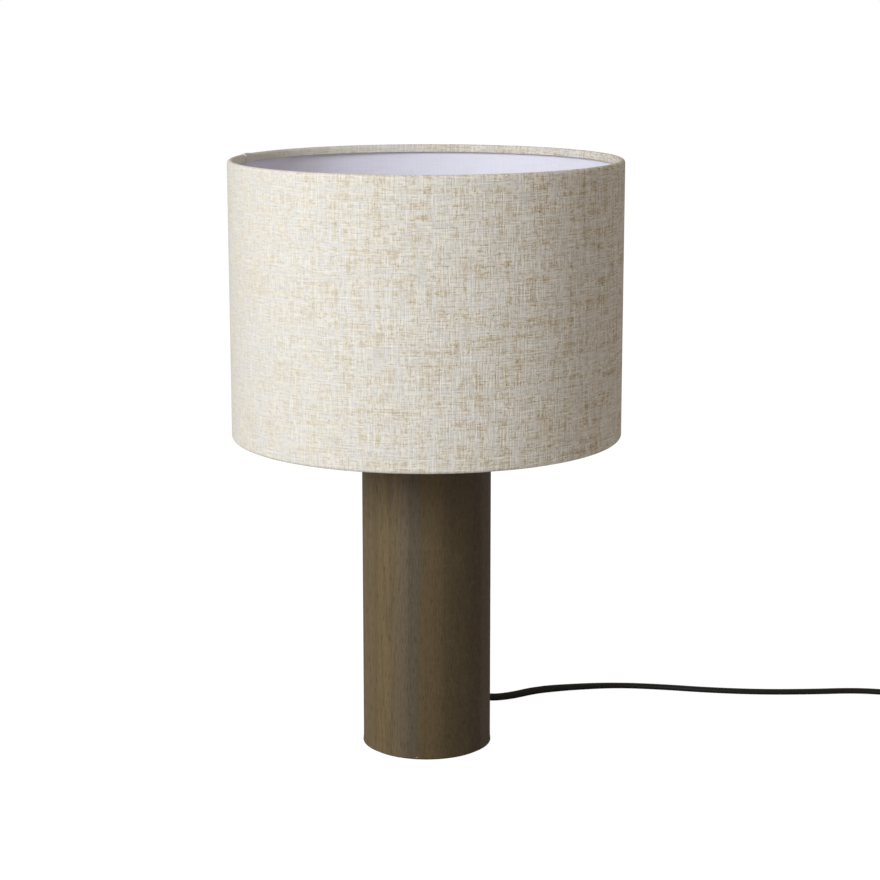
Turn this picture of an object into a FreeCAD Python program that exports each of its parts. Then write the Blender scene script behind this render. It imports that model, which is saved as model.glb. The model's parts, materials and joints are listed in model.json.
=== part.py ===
import FreeCAD, Part

import math
import os

from FreeCAD import Placement, Rotation, Vector

# A table lamp: a veneered round column, a linen drum shade, a screw lampholder with its
# bulb, and a mains cord with a rocker switch and a flat plug.
# Millimetres. The origin is the centre of the felt foot's underside, +Z runs up the column,
# and the front of the lamp looks along -Y.

# Column and foot
column_diameter = 100.0
column_height = 262.0
veneer_thickness = 0.6
core_wall = 8.0
foot_flare = 0.4
foot_flare_height = 5.0
felt_diameter = 95.0
felt_thickness = 1.5
base_disc_thickness = 7.0
top_disc_thickness = 12.0
glue_gap = 0.1
cut_overrun = 4.0

# Ballast and its screw
ballast_diameter = 74.0
ballast_height = 15.0
ballast_slot_width = 12.0
ballast_slot_floor_radius = 14.0
ballast_chamfer = 1.0
ballast_screw_diameter = 6.0
ballast_screw_head_diameter = 12.0
ballast_screw_key_width = 4.0
ballast_screw_key_depth = 2.0
screw_tip_chamfer = 0.6
ballast_washer_diameter = 16.0
ballast_washer_thickness = 1.4
ballast_nut_width = 10.0
ballast_nut_height = 5.0
screw_end_above_nut = 1.5

# Threaded nipple that carries the lampholder
nipple_diameter = 10.0
nipple_bore = 7.2
nipple_above_column = 11.0
nipple_below_nut = 2.5
nipple_nut_width = 14.0
nipple_nut_height = 5.0
nipple_washer_diameter = 24.0
nipple_washer_thickness = 1.6
cover_washer_diameter = 30.0
cover_washer_thickness = 1.5

# Lampholder
dome_height = 22.0
dome_foot_diameter = 25.0
dome_wall = 1.8
dome_boss_diameter = 15.0
dome_boss_height = 9.5
dome_waist_width_share = 0.72
dome_waist_height_share = 0.3
set_screw_diameter = 3.0
set_screw_height = 5.5
set_screw_recess = 3.5
skirt_thread_diameter = 40.0
skirt_height = 35.0
skirt_wall = 2.2
skirt_collar_width = 1.2
skirt_collar_height = 1.5
skirt_spigot_depth = 5.0
skirt_spigot_step = 1.2
skirt_lip_height = 4.0
skirt_chamfer = 1.0
holder_core_thickness = 8.0
holder_core_boss_depth = 1.6
shell_bore = 27.4
shell_sheet = 0.4
shell_height = 21.0
contact_stand_off = 3.0
contact_strip_thickness = 0.5
contact_strip_width = 4.0
contact_strip_reach = 9.0
contact_strip_bend = 4.0
contact_tip_reach = 3.5
contact_tip_length = 0.9
terminal_spacing = 13.0
terminal_length = 6.0
terminal_width = 5.0
terminal_height = 6.5
terminal_screw_diameter = 3.0
terminal_screw_drop = 1.0
terminal_screw_head_diameter = 4.8
terminal_screw_head_height = 1.4
conductor_diameter = 2.0
conductor_spacing_gap = 0.5
conductor_bend_height = 2.0
sheath_end_below_nipple = 1.5

# Shade rings that grip the fitter ring
shade_ring_flange_diameter = 57.0
shade_ring_flange_thickness = 2.0
shade_ring_collar_diameter = 46.0
shade_ring_collar_height = 6.0
shade_ring_grip_count = 16
shade_ring_grip_radius = 2.2
shade_ring_grip_reach_share = 0.6
fitter_above_collar = 15.0

# Shade
shade_diameter = 300.0
shade_height = 212.0
shade_below_column_top = 14.0
fabric_thickness = 0.6
liner_thickness = 0.4
hem_depth = 6.0
rim_width = 5.0
ring_wire_diameter = 2.4
fitter_bore = 42.0
fitter_diameter = 66.0
fitter_thickness = 2.0
arm_count = 3
arm_diameter = 3.6
arm_flat_length = 12.0
arm_slit_clearance = 0.5
arm_slit_foot_share = 0.3

# Bulb
globe_diameter = 60.0
globe_wall = 1.2
bulb_length = 108.0
bulb_cap_diameter = 26.4
bulb_cap_height = 24.0
bulb_cap_wall = 0.5
bulb_cap_shoulder = 2.0
bulb_insulator_height = 3.0
bulb_contact_diameter = 7.0
bulb_contact_height = 1.2
bulb_insulator_rim = 1.0
collar_foot_diameter = 29.0
collar_rim_diameter = 50.0
collar_height = 30.0
collar_wall = 1.6
collar_sink = 3.0
collar_hollow = 1.5
collar_hollow_share = 0.55
globe_waist = 1.0
globe_shoulder_angle = 40.0
bulb_contact_gap = 0.3

# Cord, its exit and its bush
cord_diameter = 6.0
exit_azimuth = 65.0
exit_height = 14.0
bush_shank_diameter = 10.0
bush_flange_diameter = 15.0
bush_flange_thickness = 2.0
bush_nut_height = 2.0
relief_length = 20.0
relief_root_diameter = 10.5
relief_tip_diameter = 7.8

# Coil of the put-away cord
coil_inner_radius = 25.6
coil_pitch = 6.5
coil_half_turns_per_layer = 5
coil_start = Vector(415.0, -20.0, 0.0)
coil_lift = 1.3
tie_width = 9.0
tie_thickness = 0.8
tie_gap = 0.4
tie_corner_radius = 2.0
tie_lap_length = 6.0
tie_lap_inset = 2.5

# In-line switch
switch_length = 62.0
switch_width = 22.0
switch_end_width = 11.0
switch_height = 17.0
switch_parting_height = 8.0
switch_wall = 2.0
switch_edge_radius = 2.0
rocker_length = 15.0
rocker_width = 9.0
rocker_tilt = 7.0
rocker_pivot_height = 11.5
trunnion_diameter = 2.4
switch_screw_diameter = 2.9
switch_screw_head_diameter = 5.5
switch_screw_spacing = 40.0
switch_screw_head_height = 1.8
switch_screw_head_z = 1.2
switch_screw_slot_width = 0.8
switch_screw_slot_depth = 0.9
switch_screw_reach = 1.5
switch_cavity_end_gap = 4.0
switch_cavity_width = 15.0
switch_cheek_thickness = 2.2
switch_cheek_length = 7.0
switch_cheek_drop = 3.0
rocker_rise = 1.3
rocker_crown_gap = 0.6
rocker_side_foot = 1.5
rocker_belly = 3.4
rocker_swing = 2.4
trunnion_reach = 1.3
strip_thickness = 0.6
strip_width = 5.0
strip_foot_length = 5.0
strip_foot_reach = 11.0
strip_tip_reach = 4.0
strip_tip_drop = 5.2

# Plug
plug_face_width = 35.0
plug_thickness = 13.7
plug_body_length = 30.0
plug_neck_width = 13.0
plug_edge_radius = 4.0
plug_relief_length = 17.0
plug_relief_tip_diameter = 8.0
plug_relief_root_diameter = 11.2
plug_groove_count = 4
plug_groove_width = 1.2
plug_groove_depth = 0.4
plug_grip_count = 3
plug_grip_start = 13.0
plug_grip_pitch = 3.4
plug_grip_radius = 1.1
plug_grip_depth_share = 0.55
plug_shoulder_share = 0.3
plug_waist_share = 0.74
plug_waist_width_share = 0.42
pin_socket_depth = 8.0
pin_root_length = 7.0
pin_root_diameter = 3.2
pin_shoulder_gap = 0.6
pin_tip_share = 0.6
plug_heading = 104.0
plug_neck_inset = 8.0
plug_neck_advance = 82.0
pin_diameter = 4.0
pin_length = 19.0
pin_spacing = 18.8

# Named clearances
running_clearance = 0.05
screw_clearance = 0.1
seat_gap = 0.1
moving_gap = 0.4
bore_clearance = 0.25

# Radii and heights that follow from the sizes above
column_radius = column_diameter / 2
veneer_inner_radius = column_radius - veneer_thickness
core_radius = veneer_inner_radius - glue_gap
core_bore_radius = core_radius - core_wall
column_foot_z = felt_thickness
core_top_z = column_height - veneer_thickness - glue_gap
base_disc_top_z = column_foot_z + base_disc_thickness
top_disc_z = core_top_z - top_disc_thickness
holder_z = column_height + cover_washer_thickness
skirt_z = holder_z + dome_height
skirt_top_z = skirt_z + skirt_height
skirt_radius = skirt_thread_diameter / 2
skirt_bore_radius = skirt_radius - skirt_wall
spigot_radius = skirt_radius - skirt_wall - skirt_spigot_step
spigot_bore_radius = spigot_radius - skirt_wall
dome_bore_radius = spigot_radius + seat_gap
dome_radius = dome_bore_radius + dome_wall
ledge_z = skirt_z + skirt_collar_height
holder_core_top_z = ledge_z + seat_gap + holder_core_thickness
shell_radius = shell_bore / 2 + shell_sheet
fitter_z = skirt_z + fitter_above_collar
shade_ring_bore_radius = skirt_radius + screw_clearance
shade_radius = shade_diameter / 2
shade_bottom_z = column_height - shade_below_column_top
shade_top_z = shade_bottom_z + shade_height
rim_radius = rim_width / 2
rim_centre_radius = shade_radius - rim_radius
ring_wire_radius = ring_wire_diameter / 2
bottom_ring_z = shade_bottom_z + rim_radius
top_ring_z = shade_top_z - rim_radius
contact_top_z = holder_core_top_z + contact_stand_off
bulb_z = contact_top_z + bulb_contact_gap
cord_radius = cord_diameter / 2
exit_direction = Vector(math.cos(math.radians(exit_azimuth)), math.sin(math.radians(exit_azimuth)), 0)
relief_tip_reach = column_radius + bush_flange_thickness + relief_length
relief_tip = exit_direction * relief_tip_reach + Vector(0, 0, exit_height)
switch_end_y = coil_start.y + 30.0
switch_centre = Vector(coil_start.x, switch_end_y + switch_length / 2, 0)
switch_cord_z = cord_radius + 1.2
coil_low_z = cord_radius + coil_lift
coil_high_z = coil_low_z + coil_pitch

up = Vector(0, 0, 1)


# Building blocks

def disc(radius, z, height):
    return Part.makeCylinder(radius, height, Vector(0, 0, z))


def tube(outer_radius, inner_radius, z, height):
    return disc(outer_radius, z, height).cut(disc(inner_radius, z, height))


def revolved(edges):
    """A closed outline of (radius, z) edges in the XZ plane, turned once about Z."""
    return Part.Face(Part.Wire(edges)).revolve(Vector(0, 0, 0), up, 360)


def flat_point(radius, z):
    return Vector(radius, 0, z)


def outline(*items):
    """Edges through the given (radius, z) points. A point written as a list of two pairs is
    the middle and the end of an arc. The outline closes itself."""
    start = flat_point(*items[0])
    here = start
    edges = []
    for item in items[1:]:
        if isinstance(item, list):
            middle = flat_point(*item[0])
            end = flat_point(*item[1])
            edges.append(Part.Arc(here, middle, end).toShape())
        else:
            end = flat_point(*item)
            edges.append(Part.LineSegment(here, end).toShape())
        here = end
    if here.distanceToPoint(start) > 1e-6:
        edges.append(Part.LineSegment(here, start).toShape())
    return edges


def hexagon(across_flats, z, height):
    corner_radius = across_flats / math.sqrt(3)
    corners = []
    for corner in range(7):
        angle = math.radians(60 * corner)
        corners.append(Vector(corner_radius * math.cos(angle), corner_radius * math.sin(angle), z))
    return Part.Face(Part.makePolygon(corners)).extrude(up * height)


def hex_nut(across_flats, height, bore_radius, z):
    chamfer = revolved(outline(
        (0, z),
        (across_flats / 2, z),
        (across_flats / 2 + across_flats / 10, z + height / 5),
        (across_flats / 2 + across_flats / 10, z + height * 4 / 5),
        (across_flats / 2, z + height),
        (0, z + height),
    ))
    return hexagon(across_flats, z, height).common(chamfer).cut(disc(bore_radius, z, height))


def route_edges(points, share=0.45):
    """Straight runs joined by tangent arcs, each as large as its two runs allow."""
    edges = []
    radii = []
    start = points[0]
    for before, corner, after in zip(points, points[1:], points[2:]):
        toward_before = (before - corner).normalize()
        toward_after = (after - corner).normalize()
        half_turn = (math.pi - toward_before.getAngle(toward_after)) / 2
        setback = share * min(before.distanceToPoint(corner), after.distanceToPoint(corner))
        radius = setback / math.tan(half_turn)
        radii.append(radius)
        arc_start = corner + toward_before * setback
        arc_end = corner + toward_after * setback
        to_centre = (toward_before + toward_after).normalize()
        middle = corner + to_centre * (math.hypot(radius, setback) - radius)
        edges.append(Part.LineSegment(start, arc_start).toShape())
        edges.append(Part.Arc(arc_start, middle, arc_end).toShape())
        start = arc_end
    edges.append(Part.LineSegment(start, points[-1]).toShape())
    return edges, radii


def piped(edges, radius):
    """A round section carried along a tangent path of lines and arcs."""
    path = Part.Wire(edges)
    first = edges[0]
    start = first.valueAt(first.FirstParameter)
    heading = first.tangentAt(first.FirstParameter)
    section = Part.Wire(Part.Circle(start, heading, radius).toShape())
    return Part.Solid(path.makePipeShell([section], True, False)), path.Length


def cord_along(name, points, radius=cord_radius):
    edges, radii = route_edges(points)
    solid, length = piped(edges, radius)
    expected = math.pi * radius ** 2 * length
    print(name, "length %.1f" % length, "volume ratio %.4f" % (solid.Volume / expected),
          "radii", [round(r) for r in radii])
    return solid


def placed(shape, centre, heading_degrees):
    """A shape drawn about the origin along +X, turned about Z and moved to its centre."""
    copy = shape.copy()
    copy.Placement = Placement(centre, Rotation(up, heading_degrees)).multiply(shape.Placement)
    return copy


def lengthwise_edges(shape):
    """The straight edges of a box that run along X."""
    return [edge for edge in shape.Edges if abs(edge.tangentAt(edge.FirstParameter).x) > 0.9]


def radial_cylinder(radius, near, far, height, azimuth):
    """A cylinder that lies along a ray from the column's axis."""
    ray = Vector(math.cos(math.radians(azimuth)), math.sin(math.radians(azimuth)), 0)
    return Part.makeCylinder(radius, far - near, ray * near + Vector(0, 0, height), ray)


# Column

def cord_hole():
    hole_radius = bush_shank_diameter / 2 + screw_clearance
    return radial_cylinder(hole_radius, core_bore_radius - cut_overrun, column_radius + cut_overrun,
                           exit_height, exit_azimuth)


def veneer_skin():
    flare_radius = column_radius + foot_flare
    skin = revolved(outline(
        (veneer_inner_radius, column_foot_z),
        (flare_radius, column_foot_z),
        (column_radius, column_foot_z + foot_flare_height),
        (column_radius, column_height - veneer_thickness - glue_gap),
        (veneer_inner_radius, column_height - veneer_thickness - glue_gap),
    ))
    return skin.cut(cord_hole())


def column_core():
    core = tube(core_radius, core_bore_radius, column_foot_z, core_top_z - column_foot_z)
    return core.cut(cord_hole())


def top_veneer():
    return tube(column_radius, nipple_diameter / 2 + bore_clearance,
                column_height - veneer_thickness, veneer_thickness)


def top_disc():
    return tube(core_bore_radius - glue_gap, nipple_diameter / 2 + bore_clearance,
                top_disc_z, top_disc_thickness)


def base_disc():
    plate = disc(core_bore_radius - glue_gap, column_foot_z, base_disc_thickness)
    shank_radius = ballast_screw_diameter / 2 + bore_clearance
    head_radius = ballast_screw_head_diameter / 2 + bore_clearance
    sink = Part.makeCone(head_radius, shank_radius, head_radius - shank_radius, Vector(0, 0, column_foot_z))
    return plate.cut(disc(shank_radius, column_foot_z, base_disc_thickness)).cut(sink)


def felt_foot():
    return disc(felt_diameter / 2, 0, felt_thickness)


def ballast_weight():
    weight = disc(ballast_diameter / 2, base_disc_top_z, ballast_height)
    rim = [edge for edge in weight.Edges if edge.Length > ballast_diameter and edge.Closed
           and edge.CenterOfMass.z > base_disc_top_z + ballast_height / 2]
    weight = weight.makeChamfer(ballast_chamfer, rim)
    weight = weight.cut(disc(ballast_screw_diameter / 2 + bore_clearance, base_disc_top_z, ballast_height))
    slot_length = ballast_diameter / 2 - ballast_slot_floor_radius + cut_overrun
    slot = Part.makeBox(slot_length, ballast_slot_width, ballast_height,
                        Vector(ballast_slot_floor_radius, -ballast_slot_width / 2, 0))
    return weight.cut(placed(slot, Vector(0, 0, base_disc_top_z), exit_azimuth))


def ballast_washer():
    return tube(ballast_washer_diameter / 2, ballast_screw_diameter / 2 + screw_clearance,
                base_disc_top_z + ballast_height, ballast_washer_thickness)


def ballast_nut():
    return hex_nut(ballast_nut_width, ballast_nut_height, ballast_screw_diameter / 2 + screw_clearance,
                   base_disc_top_z + ballast_height + ballast_washer_thickness)


def ballast_screw():
    radius = ballast_screw_diameter / 2
    head_radius = ballast_screw_head_diameter / 2
    head_z = column_foot_z + seat_gap
    end_z = (base_disc_top_z + ballast_height + ballast_washer_thickness
             + ballast_nut_height + screw_end_above_nut)
    body = revolved(outline(
        (0, head_z),
        (head_radius, head_z),
        (radius, head_z + head_radius - radius),
        (radius, end_z - screw_tip_chamfer),
        (radius - screw_tip_chamfer, end_z),
        (0, end_z),
    ))
    drive = hexagon(ballast_screw_key_width, head_z, ballast_screw_key_depth)
    return body.cut(drive)


# Nipple and washers

def nipple_nut_z():
    return top_disc_z - nipple_washer_thickness - nipple_nut_height


def threaded_nipple():
    low_z = nipple_nut_z() - nipple_below_nut
    return tube(nipple_diameter / 2, nipple_bore / 2, low_z, column_height + nipple_above_column - low_z)


def nipple_washer():
    return tube(nipple_washer_diameter / 2, nipple_diameter / 2 + screw_clearance,
                top_disc_z - nipple_washer_thickness, nipple_washer_thickness)


def nipple_nut():
    return hex_nut(nipple_nut_width, nipple_nut_height, nipple_diameter / 2 + screw_clearance, nipple_nut_z())


def cover_washer():
    washer = tube(cover_washer_diameter / 2, nipple_diameter / 2 + screw_clearance,
                  column_height, cover_washer_thickness)
    rim = [edge for edge in washer.Edges if edge.Closed and edge.Length > nipple_washer_diameter * 3
           and edge.CenterOfMass.z > column_height + cover_washer_thickness / 2]
    return washer.makeFillet(cover_washer_thickness / 2, rim)


# Lampholder

def holder_dome():
    foot_radius = dome_foot_diameter / 2
    boss_radius = dome_boss_diameter / 2
    bore_radius = nipple_diameter / 2 + screw_clearance
    shoulder_z = holder_z + dome_height / 2
    top_z = holder_z + dome_height
    middle_radius = foot_radius + (dome_radius - foot_radius) * dome_waist_width_share
    middle_z = holder_z + (shoulder_z - holder_z) * dome_waist_height_share
    body = revolved(outline(
        (bore_radius, holder_z),
        (foot_radius, holder_z),
        [(middle_radius, middle_z), (dome_radius, shoulder_z)],
        (dome_radius, top_z),
        (dome_bore_radius, top_z),
        (dome_bore_radius, shoulder_z),
        [(middle_radius - dome_wall, middle_z + dome_wall / 2),
         (foot_radius - dome_wall / 2, holder_z + dome_wall)],
        (boss_radius, holder_z + dome_wall),
        (boss_radius, holder_z + dome_boss_height),
        (bore_radius, holder_z + dome_boss_height),
    ))
    hole = radial_cylinder(set_screw_diameter / 2 + screw_clearance, 0, dome_radius + cut_overrun,
                           holder_z + set_screw_height, exit_azimuth + 180)
    return body.cut(hole)


def holder_set_screw():
    return radial_cylinder(set_screw_diameter / 2, nipple_diameter / 2 + seat_gap,
                           dome_radius - set_screw_recess, holder_z + set_screw_height, exit_azimuth + 180)


def holder_skirt():
    lip_radius = shell_radius + moving_gap
    collar_radius = skirt_radius + skirt_collar_width
    return revolved(outline(
        (spigot_bore_radius, skirt_z - skirt_spigot_depth),
        (spigot_radius, skirt_z - skirt_spigot_depth),
        (spigot_radius, skirt_z + seat_gap),
        (collar_radius, skirt_z + seat_gap),
        (collar_radius, skirt_z + skirt_collar_height),
        (skirt_radius, skirt_z + skirt_collar_height),
        (skirt_radius, skirt_top_z - skirt_chamfer),
        (skirt_radius - skirt_chamfer, skirt_top_z),
        (lip_radius, skirt_top_z),
        (lip_radius, skirt_top_z - skirt_lip_height),
        (skirt_bore_radius, skirt_top_z - skirt_lip_height),
        (skirt_bore_radius, ledge_z),
        (spigot_bore_radius, ledge_z),
    ))


def terminal_corner(side):
    return Vector(side * terminal_spacing / 2 - terminal_width / 2, -terminal_length / 2,
                  ledge_z - terminal_height)


def holder_core():
    core = disc(skirt_bore_radius - seat_gap * 2, ledge_z + seat_gap, holder_core_thickness)
    boss = disc(spigot_bore_radius - seat_gap * 2, ledge_z - holder_core_boss_depth,
                holder_core_boss_depth + seat_gap * 2)
    core = core.fuse(boss).removeSplitter()
    for side in (-1, 1):
        seat = terminal_corner(side) - Vector(seat_gap, seat_gap, 0)
        pocket = Part.makeBox(terminal_width + 2 * seat_gap, terminal_length + 2 * seat_gap,
                              terminal_height + seat_gap, seat)
        core = core.cut(pocket)
    return core


def screw_shell():
    shell = tube(shell_radius, shell_bore / 2, holder_core_top_z, shell_height)
    flange = tube(skirt_bore_radius - seat_gap * 3, shell_bore / 2, holder_core_top_z, shell_sheet)
    return shell.fuse(flange).removeSplitter()


def centre_contact():
    """A sprung strip, flat on the core at its foot and raised at its tip."""
    side = -contact_strip_width / 2
    low = holder_core_top_z
    strip = contact_strip_thickness
    corners = [
        Vector(-contact_strip_reach, side, low),
        Vector(-contact_strip_bend, side, low),
        Vector(contact_tip_reach, side, contact_top_z - strip),
        Vector(contact_tip_reach, side, contact_top_z),
        Vector(contact_tip_reach - contact_tip_length, side, contact_top_z),
        Vector(-contact_strip_bend, side, low + strip),
        Vector(-contact_strip_reach, side, low + strip),
    ]
    return Part.Face(Part.makePolygon(corners + corners[:1])).extrude(Vector(0, contact_strip_width, 0))


def terminal_screw_z():
    return ledge_z - terminal_height / 2 - terminal_screw_drop


def terminal(side):
    block = Part.makeBox(terminal_width, terminal_length, terminal_height, terminal_corner(side))
    hole_start = side * (terminal_spacing / 2 - terminal_width / 2 - cut_overrun)
    screw_hole = Part.makeCylinder(terminal_screw_diameter / 2 + running_clearance,
                                   terminal_width + 2 * cut_overrun,
                                   Vector(hole_start, 0, terminal_screw_z()), Vector(side, 0, 0))
    return block.cut(screw_hole)


def terminal_screws():
    middle_z = terminal_screw_z()
    screws = []
    for side in (-1, 1):
        inner_x = side * (terminal_spacing / 2 - terminal_width / 2)
        head_x = side * (terminal_spacing / 2 + terminal_width / 2 + seat_gap)
        shank = Part.makeCylinder(terminal_screw_diameter / 2, terminal_width + seat_gap,
                                  Vector(inner_x, 0, middle_z), Vector(side, 0, 0))
        head = Part.makeCylinder(terminal_screw_head_diameter / 2, terminal_screw_head_height,
                                 Vector(head_x, 0, middle_z), Vector(side, 0, 0))
        screws.append(shank.fuse(head).removeSplitter())
    return Part.makeCompound(screws)


def sheath_end_z():
    return column_height + nipple_above_column - sheath_end_below_nipple


def conductor(side):
    inset = side * (conductor_diameter + conductor_spacing_gap) / 2
    low_z = sheath_end_z()
    terminal_x = side * terminal_spacing / 2
    terminal_z = ledge_z - terminal_height
    half_z = (low_z + terminal_z) / 2
    points = [
        Vector(inset, 0, low_z),
        Vector(inset, 0, half_z - conductor_bend_height / 2),
        Vector(terminal_x, 0, half_z + conductor_bend_height / 2),
        Vector(terminal_x, 0, terminal_z),
    ]
    return cord_along("conductor", points, conductor_diameter / 2)


def shade_ring(flange_z, collar_direction):
    """A ring of the lampholder: a flat flange with a gripped collar below or above it."""
    bore = disc(shade_ring_bore_radius, flange_z - shade_ring_collar_height,
                shade_ring_flange_thickness + 2 * shade_ring_collar_height)
    flange = disc(shade_ring_flange_diameter / 2, flange_z, shade_ring_flange_thickness)
    collar_z = flange_z + shade_ring_flange_thickness
    if collar_direction < 0:
        collar_z = flange_z - shade_ring_collar_height
    collar_radius = shade_ring_collar_diameter / 2
    collar = disc(collar_radius, collar_z, shade_ring_collar_height)
    grip_reach = collar_radius + shade_ring_grip_radius * shade_ring_grip_reach_share
    for grip in range(shade_ring_grip_count):
        angle = 2 * math.pi * grip / shade_ring_grip_count
        centre = Vector(grip_reach * math.cos(angle), grip_reach * math.sin(angle), collar_z)
        collar = collar.cut(Part.makeCylinder(shade_ring_grip_radius, shade_ring_collar_height, centre))
    return flange.fuse(collar).removeSplitter().cut(bore)


def lower_shade_ring():
    return shade_ring(fitter_z - seat_gap - shade_ring_flange_thickness, -1)


def upper_shade_ring():
    return shade_ring(fitter_z + fitter_thickness + seat_gap, 1)


# Shade

def arm_points(azimuth):
    """An arm leaves the fitter ring level, then slopes down to the bottom wire ring."""
    ray = Vector(math.cos(math.radians(azimuth)), math.sin(math.radians(azimuth)), 0)
    level = fitter_z + fitter_thickness / 2
    start_radius = fitter_diameter / 2 - arm_diameter / 2
    return [
        ray * start_radius + up * level,
        ray * (start_radius + arm_flat_length) + up * level,
        ray * rim_centre_radius + up * bottom_ring_z,
    ]


def arm_azimuths():
    return [90 + 360 * arm / arm_count for arm in range(arm_count)]


def shade_fitter():
    return tube(fitter_diameter / 2, fitter_bore / 2, fitter_z, fitter_thickness)


def shade_arms():
    """Three arms, each notched over the fitter ring's edge and coped to the bottom ring's wire."""
    arms = []
    for azimuth in arm_azimuths():
        edges, radii = route_edges(arm_points(azimuth))
        arm = piped(edges, arm_diameter / 2)[0]
        arms.append(arm.cut(shade_fitter()).cut(bottom_ring()))
    return Part.makeCompound(arms)


def wire_ring(z):
    return Part.makeTorus(rim_centre_radius, ring_wire_radius, Vector(0, 0, z))


def bottom_ring():
    return wire_ring(bottom_ring_z)


def top_ring():
    return wire_ring(top_ring_z)


def shade_cover():
    """The drum's wall with both rims folded round the wire rings and turned in as hems."""
    outer = shade_radius
    inner = shade_radius - fabric_thickness
    hem_outer = shade_radius - rim_width + fabric_thickness
    hem_inner = shade_radius - rim_width
    low = shade_bottom_z
    high = shade_top_z
    cover = revolved(outline(
        (outer, low + rim_radius),
        (outer, high - rim_radius),
        [(rim_centre_radius, high), (hem_inner, high - rim_radius)],
        (hem_inner, high - hem_depth),
        (hem_outer, high - hem_depth),
        (hem_outer, high - rim_radius),
        [(rim_centre_radius, high - fabric_thickness), (inner, high - rim_radius)],
        (inner, low + rim_radius),
        [(rim_centre_radius, low + fabric_thickness), (hem_outer, low + rim_radius)],
        (hem_outer, low + hem_depth),
        (hem_inner, low + hem_depth),
        (hem_inner, low + rim_radius),
        [(rim_centre_radius, low), (outer, low + rim_radius)],
    ))
    slit_width = arm_diameter + 2 * arm_slit_clearance
    slit_foot = low + rim_radius * arm_slit_foot_share
    for azimuth in arm_azimuths():
        slit = Part.makeBox(rim_width, slit_width, hem_depth,
                            Vector(rim_centre_radius - rim_width, -slit_width / 2, slit_foot))
        cover = cover.cut(placed(slit, Vector(0, 0, 0), azimuth))
    return cover


def shade_liner():
    outer = shade_radius - fabric_thickness - glue_gap
    edge = rim_radius + ring_wire_radius + seat_gap
    return tube(outer, outer - liner_thickness, shade_bottom_z + edge, shade_height - 2 * edge)


# Bulb

def bulb_contact():
    return disc(bulb_contact_diameter / 2, bulb_z, bulb_contact_height)


def bulb_insulator():
    low_z = bulb_z + bulb_contact_height
    return revolved(outline(
        (0, low_z),
        (bulb_contact_diameter / 2 + bulb_insulator_rim, low_z),
        (bulb_cap_diameter / 2 - bulb_cap_shoulder, low_z + bulb_insulator_height),
        (0, low_z + bulb_insulator_height),
    ))


def bulb_cap_z():
    return bulb_z + bulb_contact_height + bulb_insulator_height


def bulb_cap():
    low_z = bulb_cap_z()
    top_z = low_z + bulb_cap_height
    radius = bulb_cap_diameter / 2
    return revolved(outline(
        (0, low_z),
        (radius - bulb_cap_shoulder, low_z),
        (radius, low_z + bulb_cap_shoulder),
        (radius, top_z),
        (radius - bulb_cap_wall, top_z),
        (radius - bulb_cap_wall, low_z + bulb_cap_shoulder),
        (radius - bulb_cap_shoulder, low_z + bulb_cap_wall),
        (0, low_z + bulb_cap_wall),
    ))


def bulb_collar():
    foot_z = bulb_cap_z() + bulb_cap_height
    rim_z = foot_z + collar_height
    foot_radius = collar_foot_diameter / 2
    rim_radius_here = collar_rim_diameter / 2
    middle = ((foot_radius + rim_radius_here) / 2 - collar_hollow,
              foot_z + collar_height * collar_hollow_share)
    inner_middle = (middle[0] - collar_wall, middle[1])
    return revolved(outline(
        (foot_radius - collar_sink, foot_z),
        (foot_radius, foot_z),
        [middle, (rim_radius_here, rim_z)],
        (rim_radius_here - collar_wall, rim_z),
        [inner_middle, (foot_radius - collar_sink, foot_z + collar_wall)],
    ))


def bulb_globe():
    foot_z = bulb_cap_z() + bulb_cap_height + collar_height + seat_gap
    top_z = bulb_z + bulb_length
    foot_radius = collar_rim_diameter / 2
    globe_radius = globe_diameter / 2
    centre_z = top_z - globe_radius
    shoulder = math.radians(globe_shoulder_angle)
    side = (globe_radius * math.cos(shoulder), centre_z + globe_radius * math.sin(shoulder))
    inner = globe_radius - globe_wall
    inner_side = (inner * math.cos(shoulder), centre_z + inner * math.sin(shoulder))
    low_middle = (globe_radius - globe_waist, (foot_z + centre_z) / 2)
    inner_low_middle = (low_middle[0] - globe_wall, low_middle[1])
    return revolved(outline(
        (foot_radius - globe_wall, foot_z),
        (foot_radius, foot_z),
        [low_middle, (globe_radius, centre_z)],
        [side, (0, top_z)],
        (0, top_z - globe_wall),
        [inner_side, (inner, centre_z)],
        [inner_low_middle, (foot_radius - globe_wall, foot_z)],
    ))


# Cord inside the column, and its bush

def cord_bush():
    shank_radius = bush_shank_diameter / 2
    flange = Part.makeCylinder(bush_flange_diameter / 2, bush_flange_thickness + bush_nut_height,
                               Vector(0, 0, -bush_nut_height))
    relief = Part.makeCone(relief_root_diameter / 2, relief_tip_diameter / 2, relief_length,
                           Vector(0, 0, bush_flange_thickness))
    outside = flange.fuse(relief)
    outside.Placement = Placement(exit_direction * column_radius + Vector(0, 0, exit_height),
                                  Rotation(up, exit_direction))
    outside = outside.cut(disc(column_radius + seat_gap, 0, column_height))
    nut_outer = core_bore_radius - seat_gap * 5
    nut_inner = nut_outer - bush_nut_height
    shank = radial_cylinder(shank_radius, nut_inner, column_radius + bush_flange_thickness / 2,
                            exit_height, exit_azimuth)
    nut = radial_cylinder(bush_flange_diameter / 2, nut_inner, nut_outer, exit_height, exit_azimuth)
    bush = shank.fuse(outside).fuse(nut)
    plate_clearance = disc(core_bore_radius, 0, base_disc_top_z + seat_gap)
    bore = radial_cylinder(cord_radius + bore_clearance, 0, relief_tip_reach + cut_overrun,
                           exit_height, exit_azimuth)
    return bush.cut(bore).cut(plate_clearance).removeSplitter()


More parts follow.
